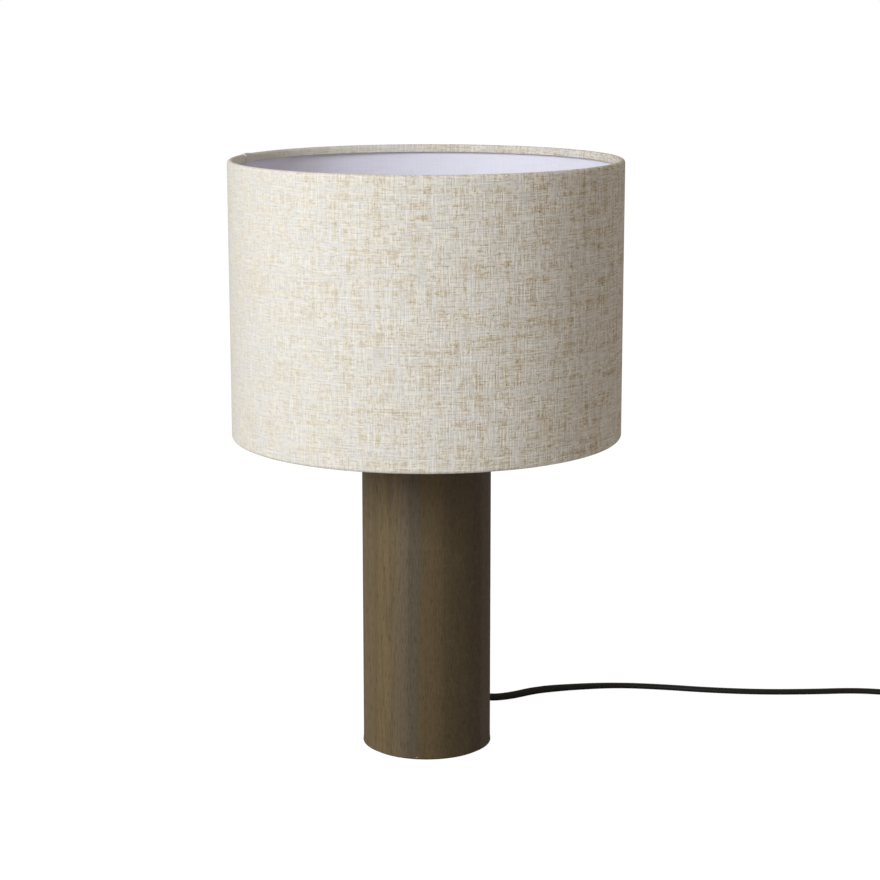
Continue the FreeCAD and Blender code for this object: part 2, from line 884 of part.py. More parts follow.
def inner_cord():
    points = [
        relief_tip,
        exit_direction * 24.0 + Vector(0, 0, exit_height),
        exit_direction * 14.5 + Vector(0, 0, 48.0),
        exit_direction * 13.0 + Vector(0, 0, 100.0),
        exit_direction * 6.0 + Vector(0, 0, 150.0),
        Vector(0, 0, 200.0),
        Vector(0, 0, sheath_end_z()),
    ]
    return cord_along("inner cord", points)


# Free cord, from the bush to the switch

def lamp_cord():
    floor = cord_radius
    points = [
        relief_tip,
        Vector(38.2, 82.0, 12.4),
        Vector(51.0, 91.5, 5.4),
        Vector(70.0, 104.0, floor),
        Vector(92.5, 121.0, floor),
        Vector(124.0, 130.5, floor),
        Vector(160.0, 136.5, floor),
        Vector(198.0, 131.5, floor),
        Vector(238.0, 122.0, floor),
        Vector(281.0, 116.5, floor),
        Vector(324.0, 117.0, floor),
        Vector(364.0, 120.5, floor),
        Vector(396.0, 113.0, floor),
        Vector(coil_start.x, switch_end_y + switch_length + 4 * cord_diameter, switch_cord_z),
        Vector(coil_start.x, switch_end_y + switch_length, switch_cord_z),
    ]
    return cord_along("lamp cord", points)


def switch_link():
    points = [
        Vector(coil_start.x, switch_end_y, switch_cord_z),
        Vector(coil_start.x, switch_end_y - 10, switch_cord_z),
        Vector(coil_start.x, coil_start.y + cord_diameter + 10, coil_low_z),
        Vector(coil_start.x, coil_start.y + cord_diameter, coil_low_z),
    ]
    return cord_along("switch link", points)


def coil_edges():
    """Half turns that spiral in on the low layer, climb in the half turn where the spiral
    reverses, and spiral out on the high layer. The coil turns anticlockwise from its start
    on the -X side, and both its ends run straight for one cord diameter."""
    step = coil_pitch / 2
    inward = [coil_inner_radius + step * k for k in range(coil_half_turns_per_layer, 0, -1)]
    radii = inward + [coil_inner_radius] + inward[::-1]
    here = Vector(coil_start.x, coil_start.y, coil_low_z)
    edges = [Part.LineSegment(here + Vector(0, cord_diameter, 0), here).toShape()]
    direction = 1
    for index, radius in enumerate(radii):
        climb = coil_pitch if index == coil_half_turns_per_layer else 0
        end = here + Vector(2 * radius * direction, 0, climb)
        middle_point = (here + end) * 0.5
        reach = math.hypot(radius, climb / 2)
        middle = middle_point + Vector(0, -direction * reach, 0)
        edges.append(Part.Arc(here, middle, end).toShape())
        here = end
        direction = -direction
    edges.append(Part.LineSegment(here, here + Vector(0, cord_diameter, 0)).toShape())
    return edges


def coil_end():
    last = coil_edges()[-1]
    return last.valueAt(last.LastParameter)


def coil_centre():
    outer_radius = coil_inner_radius + coil_pitch / 2 * coil_half_turns_per_layer
    return Vector(coil_start.x + outer_radius, coil_start.y, 0)


def least_gap_of_coil(edges):
    spacing = 2.0
    points = Part.Wire(edges).discretize(Distance=spacing)
    apart = int(4 * cord_diameter / spacing)
    least = 1e9
    for index, point in enumerate(points):
        for other in points[index + apart:]:
            least = min(least, point.distanceToPoint(other))
    return least - cord_diameter


def cord_coil():
    edges = coil_edges()
    solid, length = piped(edges, cord_radius)
    expected = math.pi * cord_radius ** 2 * length
    print("coil length %.1f" % length, "volume ratio %.4f" % (solid.Volume / expected),
          "least gap to itself %.2f" % least_gap_of_coil(edges))
    return solid


def coil_tie():
    """A flat band round the bundle of turns, on the front side, where they lie in even columns.
    Its end is lapped over its start on top."""
    step = coil_pitch / 2
    innermost = coil_inner_radius + step - cord_radius
    outermost = coil_inner_radius + step * coil_half_turns_per_layer + cord_radius
    bow = (tie_width / 2 + step) ** 2 / (2 * innermost)
    near = innermost - bow - tie_gap
    width = outermost + tie_gap - near
    height = coil_pitch + cord_diameter + 2 * tie_gap
    low = coil_low_z - cord_radius - tie_gap
    outer = Part.makeBox(tie_width, width + 2 * tie_thickness, height + 2 * tie_thickness,
                         Vector(-tie_width / 2, -near - width - tie_thickness, low - tie_thickness))
    opening = Part.makeBox(tie_width, width, height, Vector(-tie_width / 2, -near - width, low))
    outer = outer.makeFillet(tie_corner_radius, lengthwise_edges(outer))
    opening = opening.makeFillet(tie_corner_radius - tie_thickness, lengthwise_edges(opening))
    lap = Part.makeBox(tie_width, tie_lap_length, 2 * tie_thickness,
                       Vector(-tie_width / 2, -near - tie_lap_inset - tie_lap_length, low + height))
    between_layers = coil_centre() + Vector(step, 0, 0)
    return placed(outer.cut(opening).fuse(lap).removeSplitter(), between_layers, 0)


# In-line switch, drawn along +X about the origin and laid along the cord

def switch_outline(shrink, z, height):
    """A spindle in plan: two ends joined by a bowed side each."""
    half_length = switch_length / 2 - shrink
    end = switch_end_width / 2 - shrink
    middle = switch_width / 2 - shrink
    back_left = Vector(-half_length, end, z)
    back_right = Vector(half_length, end, z)
    front_left = Vector(-half_length, -end, z)
    front_right = Vector(half_length, -end, z)
    edges = [
        Part.LineSegment(front_left, back_left).toShape(),
        Part.Arc(back_left, Vector(0, middle, z), back_right).toShape(),
        Part.LineSegment(back_right, front_right).toShape(),
        Part.Arc(front_right, Vector(0, -middle, z), front_left).toShape(),
    ]
    return Part.Face(Part.Wire(edges)).extrude(up * height)


def switch_shell():
    body = switch_outline(0, 0, switch_height)
    body = body.makeFillet(switch_edge_radius, [edge for edge in body.Edges
                                                if abs(edge.CenterOfMass.z - switch_height) < 0.01])
    cavity_length = switch_screw_spacing - switch_screw_head_diameter - switch_cavity_end_gap
    cavity = Part.makeBox(cavity_length, switch_cavity_width, switch_height - 2 * switch_wall,
                          Vector(-cavity_length / 2, -switch_cavity_width / 2, switch_wall))
    return body.cut(cavity)


def switch_lower():
    half = switch_shell().common(Part.makeBox(switch_length, switch_width, switch_parting_height,
                                              Vector(-switch_length / 2, -switch_width / 2, 0)))
    for side in (-1, 1):
        x = side * switch_screw_spacing / 2
        shank = Part.makeCylinder(switch_screw_diameter / 2 + screw_clearance, switch_height, Vector(x, 0, 0))
        head = Part.makeCylinder(switch_screw_head_diameter / 2 + bore_clearance,
                                 switch_screw_head_z + switch_screw_head_height, Vector(x, 0, 0))
        half = half.cut(shank).cut(head)
    return placed(half, switch_centre, -90)


def rocker_window_length():
    return rocker_length * math.cos(math.radians(rocker_tilt)) + rocker_swing + 2 * moving_gap


def switch_upper():
    half = switch_shell().common(Part.makeBox(switch_length, switch_width, switch_height,
                                              Vector(-switch_length / 2, -switch_width / 2,
                                                     switch_parting_height)))
    cheek_foot = rocker_pivot_height - switch_cheek_drop
    cheek_height = switch_height - switch_wall / 2 - cheek_foot
    for side in (-1, 1):
        inner = rocker_width / 2 + moving_gap
        low_y = inner if side > 0 else -inner - switch_cheek_thickness
        cheek = Part.makeBox(switch_cheek_length, switch_cheek_thickness, cheek_height,
                             Vector(-switch_cheek_length / 2, low_y, cheek_foot))
        half = half.fuse(cheek)
        pilot = Part.makeCylinder(switch_screw_diameter / 2 + running_clearance,
                                  switch_screw_reach + cut_overrun,
                                  Vector(side * switch_screw_spacing / 2, 0, switch_parting_height))
        half = half.cut(pilot)
    window = Part.makeBox(rocker_window_length(), rocker_width + 2 * moving_gap, switch_height,
                          Vector(-rocker_window_length() / 2, -rocker_width / 2 - moving_gap,
                                 switch_parting_height))
    pivot_bore = Part.makeCylinder(trunnion_diameter / 2 + running_clearance, switch_width,
                                   Vector(0, -switch_width / 2, rocker_pivot_height), Vector(0, 1, 0))
    bore_depth = trunnion_reach + moving_gap / 2
    reach = rocker_width / 2 + moving_gap + bore_depth
    pivot_bore = pivot_bore.common(Part.makeBox(switch_cheek_length, 2 * reach, switch_height,
                                                Vector(-switch_cheek_length / 2, -reach, 0)))
    half = half.cut(window).cut(pivot_bore).removeSplitter()
    return placed(half, switch_centre, -90)


def switch_rocker():
    """A shallow V on top, round below, on two trunnions. It rests tilted to one side."""
    half_length = rocker_length / 2
    crown = switch_height - rocker_pivot_height - rocker_crown_gap
    tip = crown + rocker_rise
    profile = [
        Part.LineSegment(Vector(-half_length, 0, rocker_side_foot), Vector(-half_length, 0, tip)).toShape(),
        Part.Arc(Vector(-half_length, 0, tip), Vector(0, 0, crown), Vector(half_length, 0, tip)).toShape(),
        Part.LineSegment(Vector(half_length, 0, tip), Vector(half_length, 0, rocker_side_foot)).toShape(),
        Part.Arc(Vector(half_length, 0, rocker_side_foot), Vector(0, 0, -rocker_belly),
                 Vector(-half_length, 0, rocker_side_foot)).toShape(),
    ]
    body = Part.Face(Part.Wire(profile)).extrude(Vector(0, rocker_width, 0))
    body.translate(Vector(0, -rocker_width / 2, 0))
    trunnion_length = rocker_width + 2 * moving_gap + 2 * trunnion_reach
    trunnion = Part.makeCylinder(trunnion_diameter / 2, trunnion_length,
                                 Vector(0, -trunnion_length / 2, 0), Vector(0, 1, 0))
    rocker = body.fuse(trunnion)
    rocker.rotate(Vector(0, 0, 0), Vector(0, 1, 0), -rocker_tilt)
    rocker.translate(up * rocker_pivot_height)
    return placed(rocker, switch_centre, -90)


def switch_contacts():
    """Two spring strips that stand on the lower housing's floor under the rocker."""
    strips = []
    for side in (-1, 1):
        foot_x = side * strip_foot_reach
        bend_x = side * (strip_foot_reach - strip_foot_length)
        tip_x = side * strip_tip_reach
        offset = side * strip_thickness
        low_y = -strip_width / 2
        floor_z = switch_wall
        tip_z = rocker_pivot_height - strip_tip_drop
        corners = [
            Vector(foot_x, low_y, floor_z),
            Vector(bend_x, low_y, floor_z),
            Vector(tip_x, low_y, tip_z),
            Vector(tip_x + offset, low_y, tip_z),
            Vector(bend_x + offset, low_y, floor_z + strip_thickness),
            Vector(foot_x, low_y, floor_z + strip_thickness),
        ]
        strips.append(Part.Face(Part.makePolygon(corners + corners[:1])).extrude(Vector(0, strip_width, 0)))
    return placed(Part.makeCompound(strips), switch_centre, -90)


def switch_screws():
    screws = []
    for side in (-1, 1):
        x = side * switch_screw_spacing / 2
        foot = Vector(x, 0, switch_screw_head_z)
        head = Part.makeCylinder(switch_screw_head_diameter / 2, switch_screw_head_height, foot)
        shank = Part.makeCylinder(switch_screw_diameter / 2, switch_parting_height + switch_screw_reach, foot)
        slot = Part.makeBox(switch_screw_head_diameter, switch_screw_slot_width, switch_screw_slot_depth,
                            foot - Vector(switch_screw_head_diameter / 2, switch_screw_slot_width / 2, 0))
        screws.append(head.fuse(shank).removeSplitter().cut(slot))
    return placed(Part.makeCompound(screws), switch_centre, -90)


# Plug, drawn with its pins along +X, and the cord's tail that leads to it

plug_neck = Vector(coil_end().x - plug_neck_inset, coil_end().y + plug_neck_advance, plug_thickness / 2)
plug_way = Vector(math.cos(math.radians(plug_heading)), math.sin(math.radians(plug_heading)), 0)
plug_face_centre = plug_neck + plug_way * (plug_relief_length + plug_body_length)


def cord_tail():
    start = coil_end()
    floor = cord_radius
    points = [
        start,
        start + Vector(0, 2 * cord_diameter, 0),
        Vector(start.x, start.y + 34, floor + 1.0),
        Vector(start.x - 1.5, start.y + 54, floor + 0.8),
        plug_neck - plug_way * 12.0,
        plug_neck,
    ]
    return cord_along("cord tail", points)


def plug_relief():
    """The moulded strain relief, tapered along +Z and cut round by even grooves to one core."""
    relief = Part.makeCone(plug_relief_root_diameter / 2, plug_relief_tip_diameter / 2, plug_relief_length)
    core_radius = plug_relief_tip_diameter / 2 - plug_groove_depth
    pitch = plug_relief_length / (plug_groove_count + 0.5)
    for groove in range(plug_groove_count):
        foot = up * (pitch * (groove + 0.5))
        outside = Part.makeCylinder(plug_relief_root_diameter, plug_groove_width, foot)
        relief = relief.cut(outside.cut(Part.makeCylinder(core_radius, plug_groove_width, foot)))
    return relief


def plug_grips():
    """Bars along Y that each sink a shallow groove into one of the two broad faces."""
    stand_off = plug_grip_radius * (1 - plug_grip_depth_share)
    bars = []
    for grip in range(plug_grip_count):
        x = -plug_grip_start - grip * plug_grip_pitch
        for height in (-stand_off, plug_thickness + stand_off):
            bars.append(Part.makeCylinder(plug_grip_radius, plug_face_width,
                                          Vector(x, -plug_face_width / 2, height), Vector(0, 1, 0)))
    return bars


def plug_body():
    half_face = plug_face_width / 2
    half_neck = plug_neck_width / 2
    shoulder = plug_body_length * plug_shoulder_share
    waist_x = -plug_body_length * plug_waist_share
    waist_y = half_neck + (half_face - half_neck) * plug_waist_width_share
    edges = [
        Part.LineSegment(Vector(0, -half_face, 0), Vector(0, half_face, 0)).toShape(),
        Part.LineSegment(Vector(0, half_face, 0), Vector(-shoulder, half_face, 0)).toShape(),
        Part.Arc(Vector(-shoulder, half_face, 0),
                 Vector(waist_x, waist_y, 0),
                 Vector(-plug_body_length, half_neck, 0)).toShape(),
        Part.LineSegment(Vector(-plug_body_length, half_neck, 0),
                         Vector(-plug_body_length, -half_neck, 0)).toShape(),
        Part.Arc(Vector(-plug_body_length, -half_neck, 0),
                 Vector(waist_x, -waist_y, 0),
                 Vector(-shoulder, -half_face, 0)).toShape(),
        Part.LineSegment(Vector(-shoulder, -half_face, 0), Vector(0, -half_face, 0)).toShape(),
    ]
    body = Part.Face(Part.Wire(edges)).extrude(up * plug_thickness)
    rims = []
    for edge in body.Edges:
        at_top = abs(edge.CenterOfMass.z - plug_thickness) < 0.01
        at_bottom = abs(edge.CenterOfMass.z) < 0.01
        at_face = abs(edge.CenterOfMass.x) < 0.01
        if (at_top or at_bottom) and not at_face:
            rims.append(edge)
    body = body.makeFillet(plug_edge_radius, rims)
    for bar in plug_grips():
        body = body.cut(bar)
    relief = plug_relief()
    relief.Placement = Placement(Vector(-plug_body_length, 0, plug_thickness / 2),
                                 Rotation(up, Vector(-1, 0, 0)))
    body = body.fuse(relief)
    for side in (-1, 1):
        socket = Part.makeCylinder(pin_root_diameter / 2, pin_socket_depth,
                                   Vector(-pin_socket_depth, side * pin_spacing / 2, plug_thickness / 2),
                                   Vector(1, 0, 0))
        body = body.cut(socket)
    return placed(body.removeSplitter(), plug_face_centre - up * (plug_thickness / 2), plug_heading)


def plug_pins():
    """Two round pins on thinner roots, each with its shoulder just clear of the plug's face."""
    pins = []
    radius = pin_diameter / 2 - running_clearance
    taper = pin_tip_share * pin_diameter / 2
    ahead = Vector(1, 0, 0)
    for side in (-1, 1):
        on_axis = Vector(0, side * pin_spacing / 2, plug_thickness / 2)
        root = Part.makeCylinder(pin_root_diameter / 2 - running_clearance,
                                 pin_root_length + pin_shoulder_gap,
                                 on_axis - ahead * pin_root_length, ahead)
        body = Part.makeCylinder(radius, pin_length - pin_shoulder_gap - taper,
                                 on_axis + ahead * pin_shoulder_gap, ahead)
        tip = Part.makeCone(radius, pin_diameter / 2 - taper, taper,
                            on_axis + ahead * (pin_length - taper), ahead)
        pins.append(root.fuse(body).fuse(tip).removeSplitter())
    return placed(Part.makeCompound(pins), plug_face_centre - up * (plug_thickness / 2), plug_heading)


# All pieces by name

pieces = {
    "felt_foot": felt_foot,
    "base_disc": base_disc,
    "ballast_weight": ballast_weight,
    "ballast_screw": ballast_screw,
    "ballast_washer": ballast_washer,
    "ballast_nut": ballast_nut,
    "column_core": column_core,
    "veneer_skin": veneer_skin,
    "top_disc": top_disc,
    "top_veneer": top_veneer,
    "threaded_nipple": threaded_nipple,
    "nipple_washer": nipple_washer,
    "nipple_nut": nipple_nut,
    "cover_washer": cover_washer,
    "holder_dome": holder_dome,
    "holder_set_screw": holder_set_screw,
    "holder_skirt": holder_skirt,
    "holder_core": holder_core,
    "screw_shell": screw_shell,
    "centre_contact": centre_contact,
    "live_terminal": lambda: terminal(1),
    "neutral_terminal": lambda: terminal(-1),
    "terminal_screws": terminal_screws,
    "live_conductor": lambda: conductor(1),
    "neutral_conductor": lambda: conductor(-1),
    "lower_shade_ring": lower_shade_ring,
    "upper_shade_ring": upper_shade_ring,
    "shade_fitter": shade_fitter,
    "shade_arms": shade_arms,
    "bottom_ring": bottom_ring,
    "top_ring": top_ring,
    "shade_cover": shade_cover,
    "shade_liner": shade_liner,
    "bulb_contact": bulb_contact,
    "bulb_insulator": bulb_insulator,
    "bulb_cap": bulb_cap,
    "bulb_collar": bulb_collar,
    "bulb_globe": bulb_globe,
    "cord_bush": cord_bush,
    "inner_cord": inner_cord,
    "lamp_cord": lamp_cord,
    "switch_lower": switch_lower,
    "switch_upper": switch_upper,
    "switch_rocker": switch_rocker,
    "switch_contacts": switch_contacts,
    "switch_screws": switch_screws,
    "switch_link": switch_link,
    "cord_coil": cord_coil,
    "coil_tie": coil_tie,
    "cord_tail": cord_tail,
    "plug_body": plug_body,
    "plug_pins": plug_pins,
}

os.makedirs("parts", exist_ok=True)
for name, build in pieces.items():
    shape = build()
    if not shape.isValid():
        print("not valid:", name)
    print(name, "solids", len(shape.Solids), "volume %.0f" % shape.Volume)
    shape.exportStep("parts/" + name + ".step")
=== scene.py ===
import json
import logging
import math
from dataclasses import dataclass
from enum import Enum
from typing import Callable, Sequence

import bmesh
import bpy
import numpy as np
from mathutils import Euler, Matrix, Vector


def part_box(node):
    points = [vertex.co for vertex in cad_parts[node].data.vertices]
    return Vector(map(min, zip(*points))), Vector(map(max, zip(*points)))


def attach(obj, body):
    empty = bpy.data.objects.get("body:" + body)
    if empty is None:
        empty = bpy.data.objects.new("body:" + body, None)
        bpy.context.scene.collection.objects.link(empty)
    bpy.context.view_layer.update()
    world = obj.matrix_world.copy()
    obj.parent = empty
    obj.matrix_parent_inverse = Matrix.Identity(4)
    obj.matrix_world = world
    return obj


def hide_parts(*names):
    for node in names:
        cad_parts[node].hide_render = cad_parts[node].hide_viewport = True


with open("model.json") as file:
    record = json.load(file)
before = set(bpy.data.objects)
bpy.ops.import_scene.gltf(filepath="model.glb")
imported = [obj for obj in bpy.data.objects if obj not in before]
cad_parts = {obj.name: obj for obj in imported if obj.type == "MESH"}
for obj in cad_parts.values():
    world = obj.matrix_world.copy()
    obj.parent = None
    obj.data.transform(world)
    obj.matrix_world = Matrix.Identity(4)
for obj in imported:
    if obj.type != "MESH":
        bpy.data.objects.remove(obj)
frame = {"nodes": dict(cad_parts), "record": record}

# A table lamp: a veneered round column, a linen drum shade, a screw lampholder with its
# bulb, and a flat mains cord with a rocker switch and a flat plug. Metres, +Z up the column.

MM = 0.001
UP = np.array([0.0, 0.0, 1.0])

log = logging.getLogger("lamp")

Colour = tuple[float, float, float, float]
Relief = Callable[[np.ndarray, np.ndarray, np.ndarray], np.ndarray]


# Shader building


class Tone:
    """A shader socket that joins in arithmetic as a number does."""

    def __init__(self, shader: "Shader", socket: bpy.types.NodeSocket) -> None:
        """Keeps the socket, and the shader that takes up what is made from it."""
        self.shader = shader
        self.socket = socket

    def maths(self, operation: str, *terms: "Tone | float") -> "Tone":
        """Feeds the terms to one Math node.

        Args:
            operation: The node's operation.
            terms: The inputs, in the node's order.

        Returns:
            The result as a Tone.
        """
        made = self.shader.node("ShaderNodeMath", {"operation": operation}, dict(enumerate(terms)))
        return Tone(self.shader, made.outputs[0])

    def __add__(self, other: "Tone | float") -> "Tone":
        """Returns this tone plus the other."""
        return self.maths("ADD", self, other)

    def __radd__(self, other: float) -> "Tone":
        """Returns a number plus this tone."""
        return self.maths("ADD", other, self)

    def __sub__(self, other: "Tone | float") -> "Tone":
        """Returns this tone less the other."""
        return self.maths("SUBTRACT", self, other)

    def __mul__(self, other: "Tone | float") -> "Tone":
        """Returns this tone times the other."""
        return self.maths("MULTIPLY", self, other)

    def __rmul__(self, other: float) -> "Tone":
        """Returns a number times this tone."""
        return self.maths("MULTIPLY", other, self)

    def __truediv__(self, other: "Tone | float") -> "Tone":
        """Returns this tone divided by the other."""
        return self.maths("DIVIDE", self, other)

    def __abs__(self) -> "Tone":
        """Returns this tone without its sign."""
        return self.maths("ABSOLUTE", self)

    def sine(self) -> "Tone":
        """Returns the sine of this tone, in radians."""
        return self.maths("SINE", self)

    def ramp(self, low: float, high: float) -> "Tone":
        """A smooth step from 0 at low to 1 at high.

        Args:
            low: Where the step starts.
            high: Where it ends, below low for a falling step.

        Returns:
            A tone from 0 to 1.
        """
        made = self.shader.node(
            "ShaderNodeMapRange",
            {"interpolation_type": "SMOOTHSTEP", "clamp": True},
            {0: self, 1: low, 2: high, 3: 0.0, 4: 1.0},
        )
        return Tone(self.shader, made.outputs[0])


class Shader:
    """One material and the nodes that make it."""

    def __init__(self, name: str) -> None:
        """Makes a material that holds only its surface and its output."""
        self.material = bpy.data.materials.new(name)
        self.material.use_nodes = True
        self.tree = self.material.node_tree
        self.tree.nodes.clear()
        self.surface = self.node("ShaderNodeBsdfPrincipled")
        self.output = self.node(
            "ShaderNodeOutputMaterial", {}, {"Surface": self.surface.outputs[0]}
        )

    def node(
        self, kind: str, settings: dict | None = None, inputs: dict | None = None
    ) -> bpy.types.Node:
        """Makes a node.

        Args:
            kind: The node's type.
            settings: Its properties, set before its inputs.
            inputs: Its inputs by name or index, as numbers, sockets or tones.

        Returns:
            The node.
        """
        made = self.tree.nodes.new(kind)
        for name, value in (settings or {}).items():
            setattr(made, name, value)
        for name, value in (inputs or {}).items():
            self.feed(made.inputs[name], value)
        return made

    def feed(self, socket: bpy.types.NodeSocket, value: object) -> None:
        """Links or sets one input.

        Args:
            socket: The input.
            value: A tone or a socket to link, or a number or colour to set.
        """
        if isinstance(value, Tone):
            value = value.socket
        if isinstance(value, bpy.types.NodeSocket):
            self.tree.links.new(value, socket)
        else:
            socket.default_value = value

    def place(self) -> bpy.types.NodeSocket:
        """The point on the piece, in metres."""
        return self.node("ShaderNodeTexCoord").outputs["Object"]

    def cloth(self) -> bpy.types.NodeSocket:
        """The piece's own flat map, in metres."""
        return self.node("ShaderNodeUVMap", {"uv_map": "metres"}).outputs[0]

    def laid(self, shift: Sequence[float]) -> bpy.types.NodeSocket:
        """The point on a piece without a flat map, moved by shift to its place on a sheet."""
        moved = self.node("ShaderNodeMapping", {}, {"Vector": self.place(), "Location": shift})
        return moved.outputs[0]

    def axes(self, point: bpy.types.NodeSocket) -> tuple[Tone, Tone, Tone]:
        """Splits a point into its three numbers."""
        made = self.node("ShaderNodeSeparateXYZ", {}, {0: point})
        return tuple(Tone(self, output) for output in made.outputs)

    def noise(
        self,
        point: bpy.types.NodeSocket,
        cells: Sequence[float],
        detail: float = 2.0,
        roughness: float = 0.5,
        shift: Sequence[float] = (0.0, 0.0, 0.0),
    ) -> Tone:
        """Smooth noise about 0.5.

        Args:
            point: The coordinates, in metres.
            cells: How many cells a metre holds along each axis.
            detail: How many finer octaves are added.
            roughness: How strong the finer octaves are.
            shift: Moves the pattern, in cells.

        Returns:
            The noise.
        """
        scaled = self.node(
            "ShaderNodeMapping", {}, {"Vector": point, "Location": shift, "Scale": cells}
        )
        made = self.node(
            "ShaderNodeTexNoise",
            {"noise_dimensions": "3D"},
            {"Vector": scaled.outputs[0], "Scale": 1.0, "Detail": detail, "Roughness": roughness},
        )
        return Tone(self, made.outputs[0])

    def blend(self, share: Tone | float, first: object, second: object) -> Tone:
        """Mixes two colours by share."""
        made = self.node("ShaderNodeMix", {"data_type": "RGBA"}, {0: share, 6: first, 7: second})
        return Tone(self, made.outputs[2])

    def finish(
        self, colour: object, roughness: object, bump: Tone, depth: float, **constants: object
    ) -> bpy.types.Material:
        """Joins a look to the surface.

        Args:
            colour: The base colour.
            roughness: The roughness.
            bump: The height of the fine relief, 0 to 1.
            depth: The relief's depth in metres.
            constants: Other inputs of the surface, underscores for spaces.

        Returns:
            The finished material.
        """
        relief = self.node(
            "ShaderNodeBump", {}, {"Strength": 1.0, "Distance": depth, "Height": bump}
        )
        self.feed(self.surface.inputs["Base Color"], colour)
        self.feed(self.surface.inputs["Roughness"], roughness)
        self.feed(self.surface.inputs["Normal"], relief.outputs[0])
        for name, value in constants.items():
            self.feed(self.surface.inputs[name.replace("_", " ")], value)
        return self.material


# Finishes


@dataclass(frozen=True)
class Finish:
    """A moulded, plated, painted or pressed surface with a mottle and a fine relief."""

    name: str
    colour: Colour
    second_colour: Colour
    roughness: float
    roughness_spread: float = 0.12
    metallic: float = 0.0
    mottle_cells: float = 70.0
    relief_cells: tuple[float, float, float] = (1400.0, 1400.0, 1400.0)
    relief_depth: float = 0.00002
    coat: float = 0.0

    def material(self) -> bpy.types.Material:
        """Makes the finish on the piece's own coordinates.

        Returns:
            The material.
        """
        shader = Shader(self.name)
        place = shader.place()
        mottle = shader.noise(place, (self.mottle_cells,) * 3, detail=4.0)
        fine = shader.noise(place, self.relief_cells, detail=3.0, roughness=0.6)
        share = (0.7 * mottle + 0.3 * fine).ramp(0.32, 0.68)
        colour = shader.blend(share, self.colour, self.second_colour)
        spread = self.roughness_spread
        roughness = self.roughness + (mottle - 0.5) * spread + (fine - 0.5) * spread
        return shader.finish(
            colour, roughness, fine, self.relief_depth,
            Metallic=self.metallic, Coat_Weight=self.coat,
        )


@dataclass(frozen=True)
class LinenFinish:
    """Slubbed linen: uneven warp and weft threads, thick slubs both ways, dark flecks.

    Painted light: one slow sine round the drum lowers the yarn's contrast and warm tint on the side
    the key lamp lights and raises them on the shaded side.
    """

    name: str = "linen"
    pale: Colour = (0.782, 0.757, 0.678, 1.0)
    cool: Colour = (0.735, 0.732, 0.710, 1.0)
    warm: Colour = (0.605, 0.53, 0.405, 1.0)
    thread: Colour = (0.575, 0.54, 0.470, 1.0)
    slub: Colour = (0.45, 0.34, 0.205, 1.0)
    fleck: Colour = (0.19, 0.15, 0.105, 1.0)
    white: Colour = (0.89, 0.875, 0.815, 1.0)
    drum_radius: float = 0.15
    # Where round the drum the painted light's sine peaks: on the side away from the key lamp.
    painted_light_phase: float = math.radians(100.0)
    relief_depth: float = 0.0004

    def material(self) -> bpy.types.Material:
        """Makes the cloth on its flat map, which runs round the drum and down it in metres.

        Returns:
            The material.
        """
        shader = Shader(self.name)
        cloth = shader.cloth()
        across, _, _ = shader.axes(cloth)
        warp_run = shader.noise(cloth, (930.0, 48.0, 1.0), detail=1.0, shift=(3.0, 0.0, 0.0)) - 0.5
        weft_run = shader.noise(cloth, (48.0, 930.0, 1.0), detail=1.0, shift=(0.0, 7.0, 0.0)) - 0.5
        warp_band = shader.noise(cloth, (210.0, 17.0, 1.0), detail=2.0, shift=(1.0, 4.0, 0.0)) - 0.5
        weft_band = shader.noise(cloth, (17.0, 210.0, 1.0), detail=2.0, shift=(9.0, 1.0, 0.0)) - 0.5
        patch = shader.noise(
            cloth, (115.0, 90.0, 1.0), detail=3.0, roughness=0.6, shift=(9.0, 1.0, 0.0)
        ) - 0.5
        plaid = warp_band + weft_band + patch * 0.8
        # Painted light: a slow sine round the drum, highest on the shaded side and lowest on the lit
        # side. It scales the yarn's contrast, slub crowding and warm tint below.
        painted_light_swell = 1.0 + 0.50 * (across / self.drum_radius + self.painted_light_phase).sine()
        crowd = plaid * (0.15 * painted_light_swell)
        warp_slub = shader.noise(cloth, (980.0, 165.0, 1.0), detail=1.0, shift=(11.0, 2.0, 0.0))
        weft_slub = shader.noise(cloth, (160.0, 980.0, 1.0), detail=1.0, shift=(5.0, 13.0, 0.0))
        speck = shader.noise(cloth, (480.0, 560.0, 1.0), detail=1.0, shift=(2.0, 8.0, 0.0))
        warp_slub = (warp_slub + crowd).ramp(0.54, 0.68)
        weft_slub = (weft_slub + crowd).ramp(0.54, 0.68)
        speck = (speck + crowd).ramp(0.66, 0.78)
        ground = shader.blend(plaid.ramp(-0.16, 0.10), self.cool, self.pale)
        # Painted shade: the warm tint grows with the square of the sine on the shaded side.
        ground = shader.blend(plaid.ramp(0.04, 0.26) * (0.40 * painted_light_swell * painted_light_swell), ground, self.warm)
        yarn = shader.blend(warp_run.ramp(-0.02, 0.20) * 0.58, ground, self.thread)
        yarn = shader.blend(weft_run.ramp(-0.02, 0.20) * 0.54, yarn, self.thread)
        yarn = shader.blend(warp_run.ramp(-0.02, -0.20) * 0.88, yarn, self.white)
        yarn = shader.blend(weft_run.ramp(-0.02, -0.20) * 0.78, yarn, self.white)
        yarn = shader.blend(warp_slub * 0.52, yarn, self.slub)
        yarn = shader.blend(weft_slub * 0.58, yarn, self.slub)
        yarn = shader.blend(speck * 0.85, yarn, self.fleck)
        # Painted light: the yarn shows less on the lit side and more on the shaded side.
        ground = shader.blend(0.67 * painted_light_swell, ground, yarn)
        height = 0.5 + warp_run * 0.8 + weft_run * 0.8 + (warp_slub + weft_slub) * 0.22
        roughness = 0.88 + patch * 0.12
        return shader.finish(ground, roughness, height, self.relief_depth, Specular_IOR_Level=0.2)


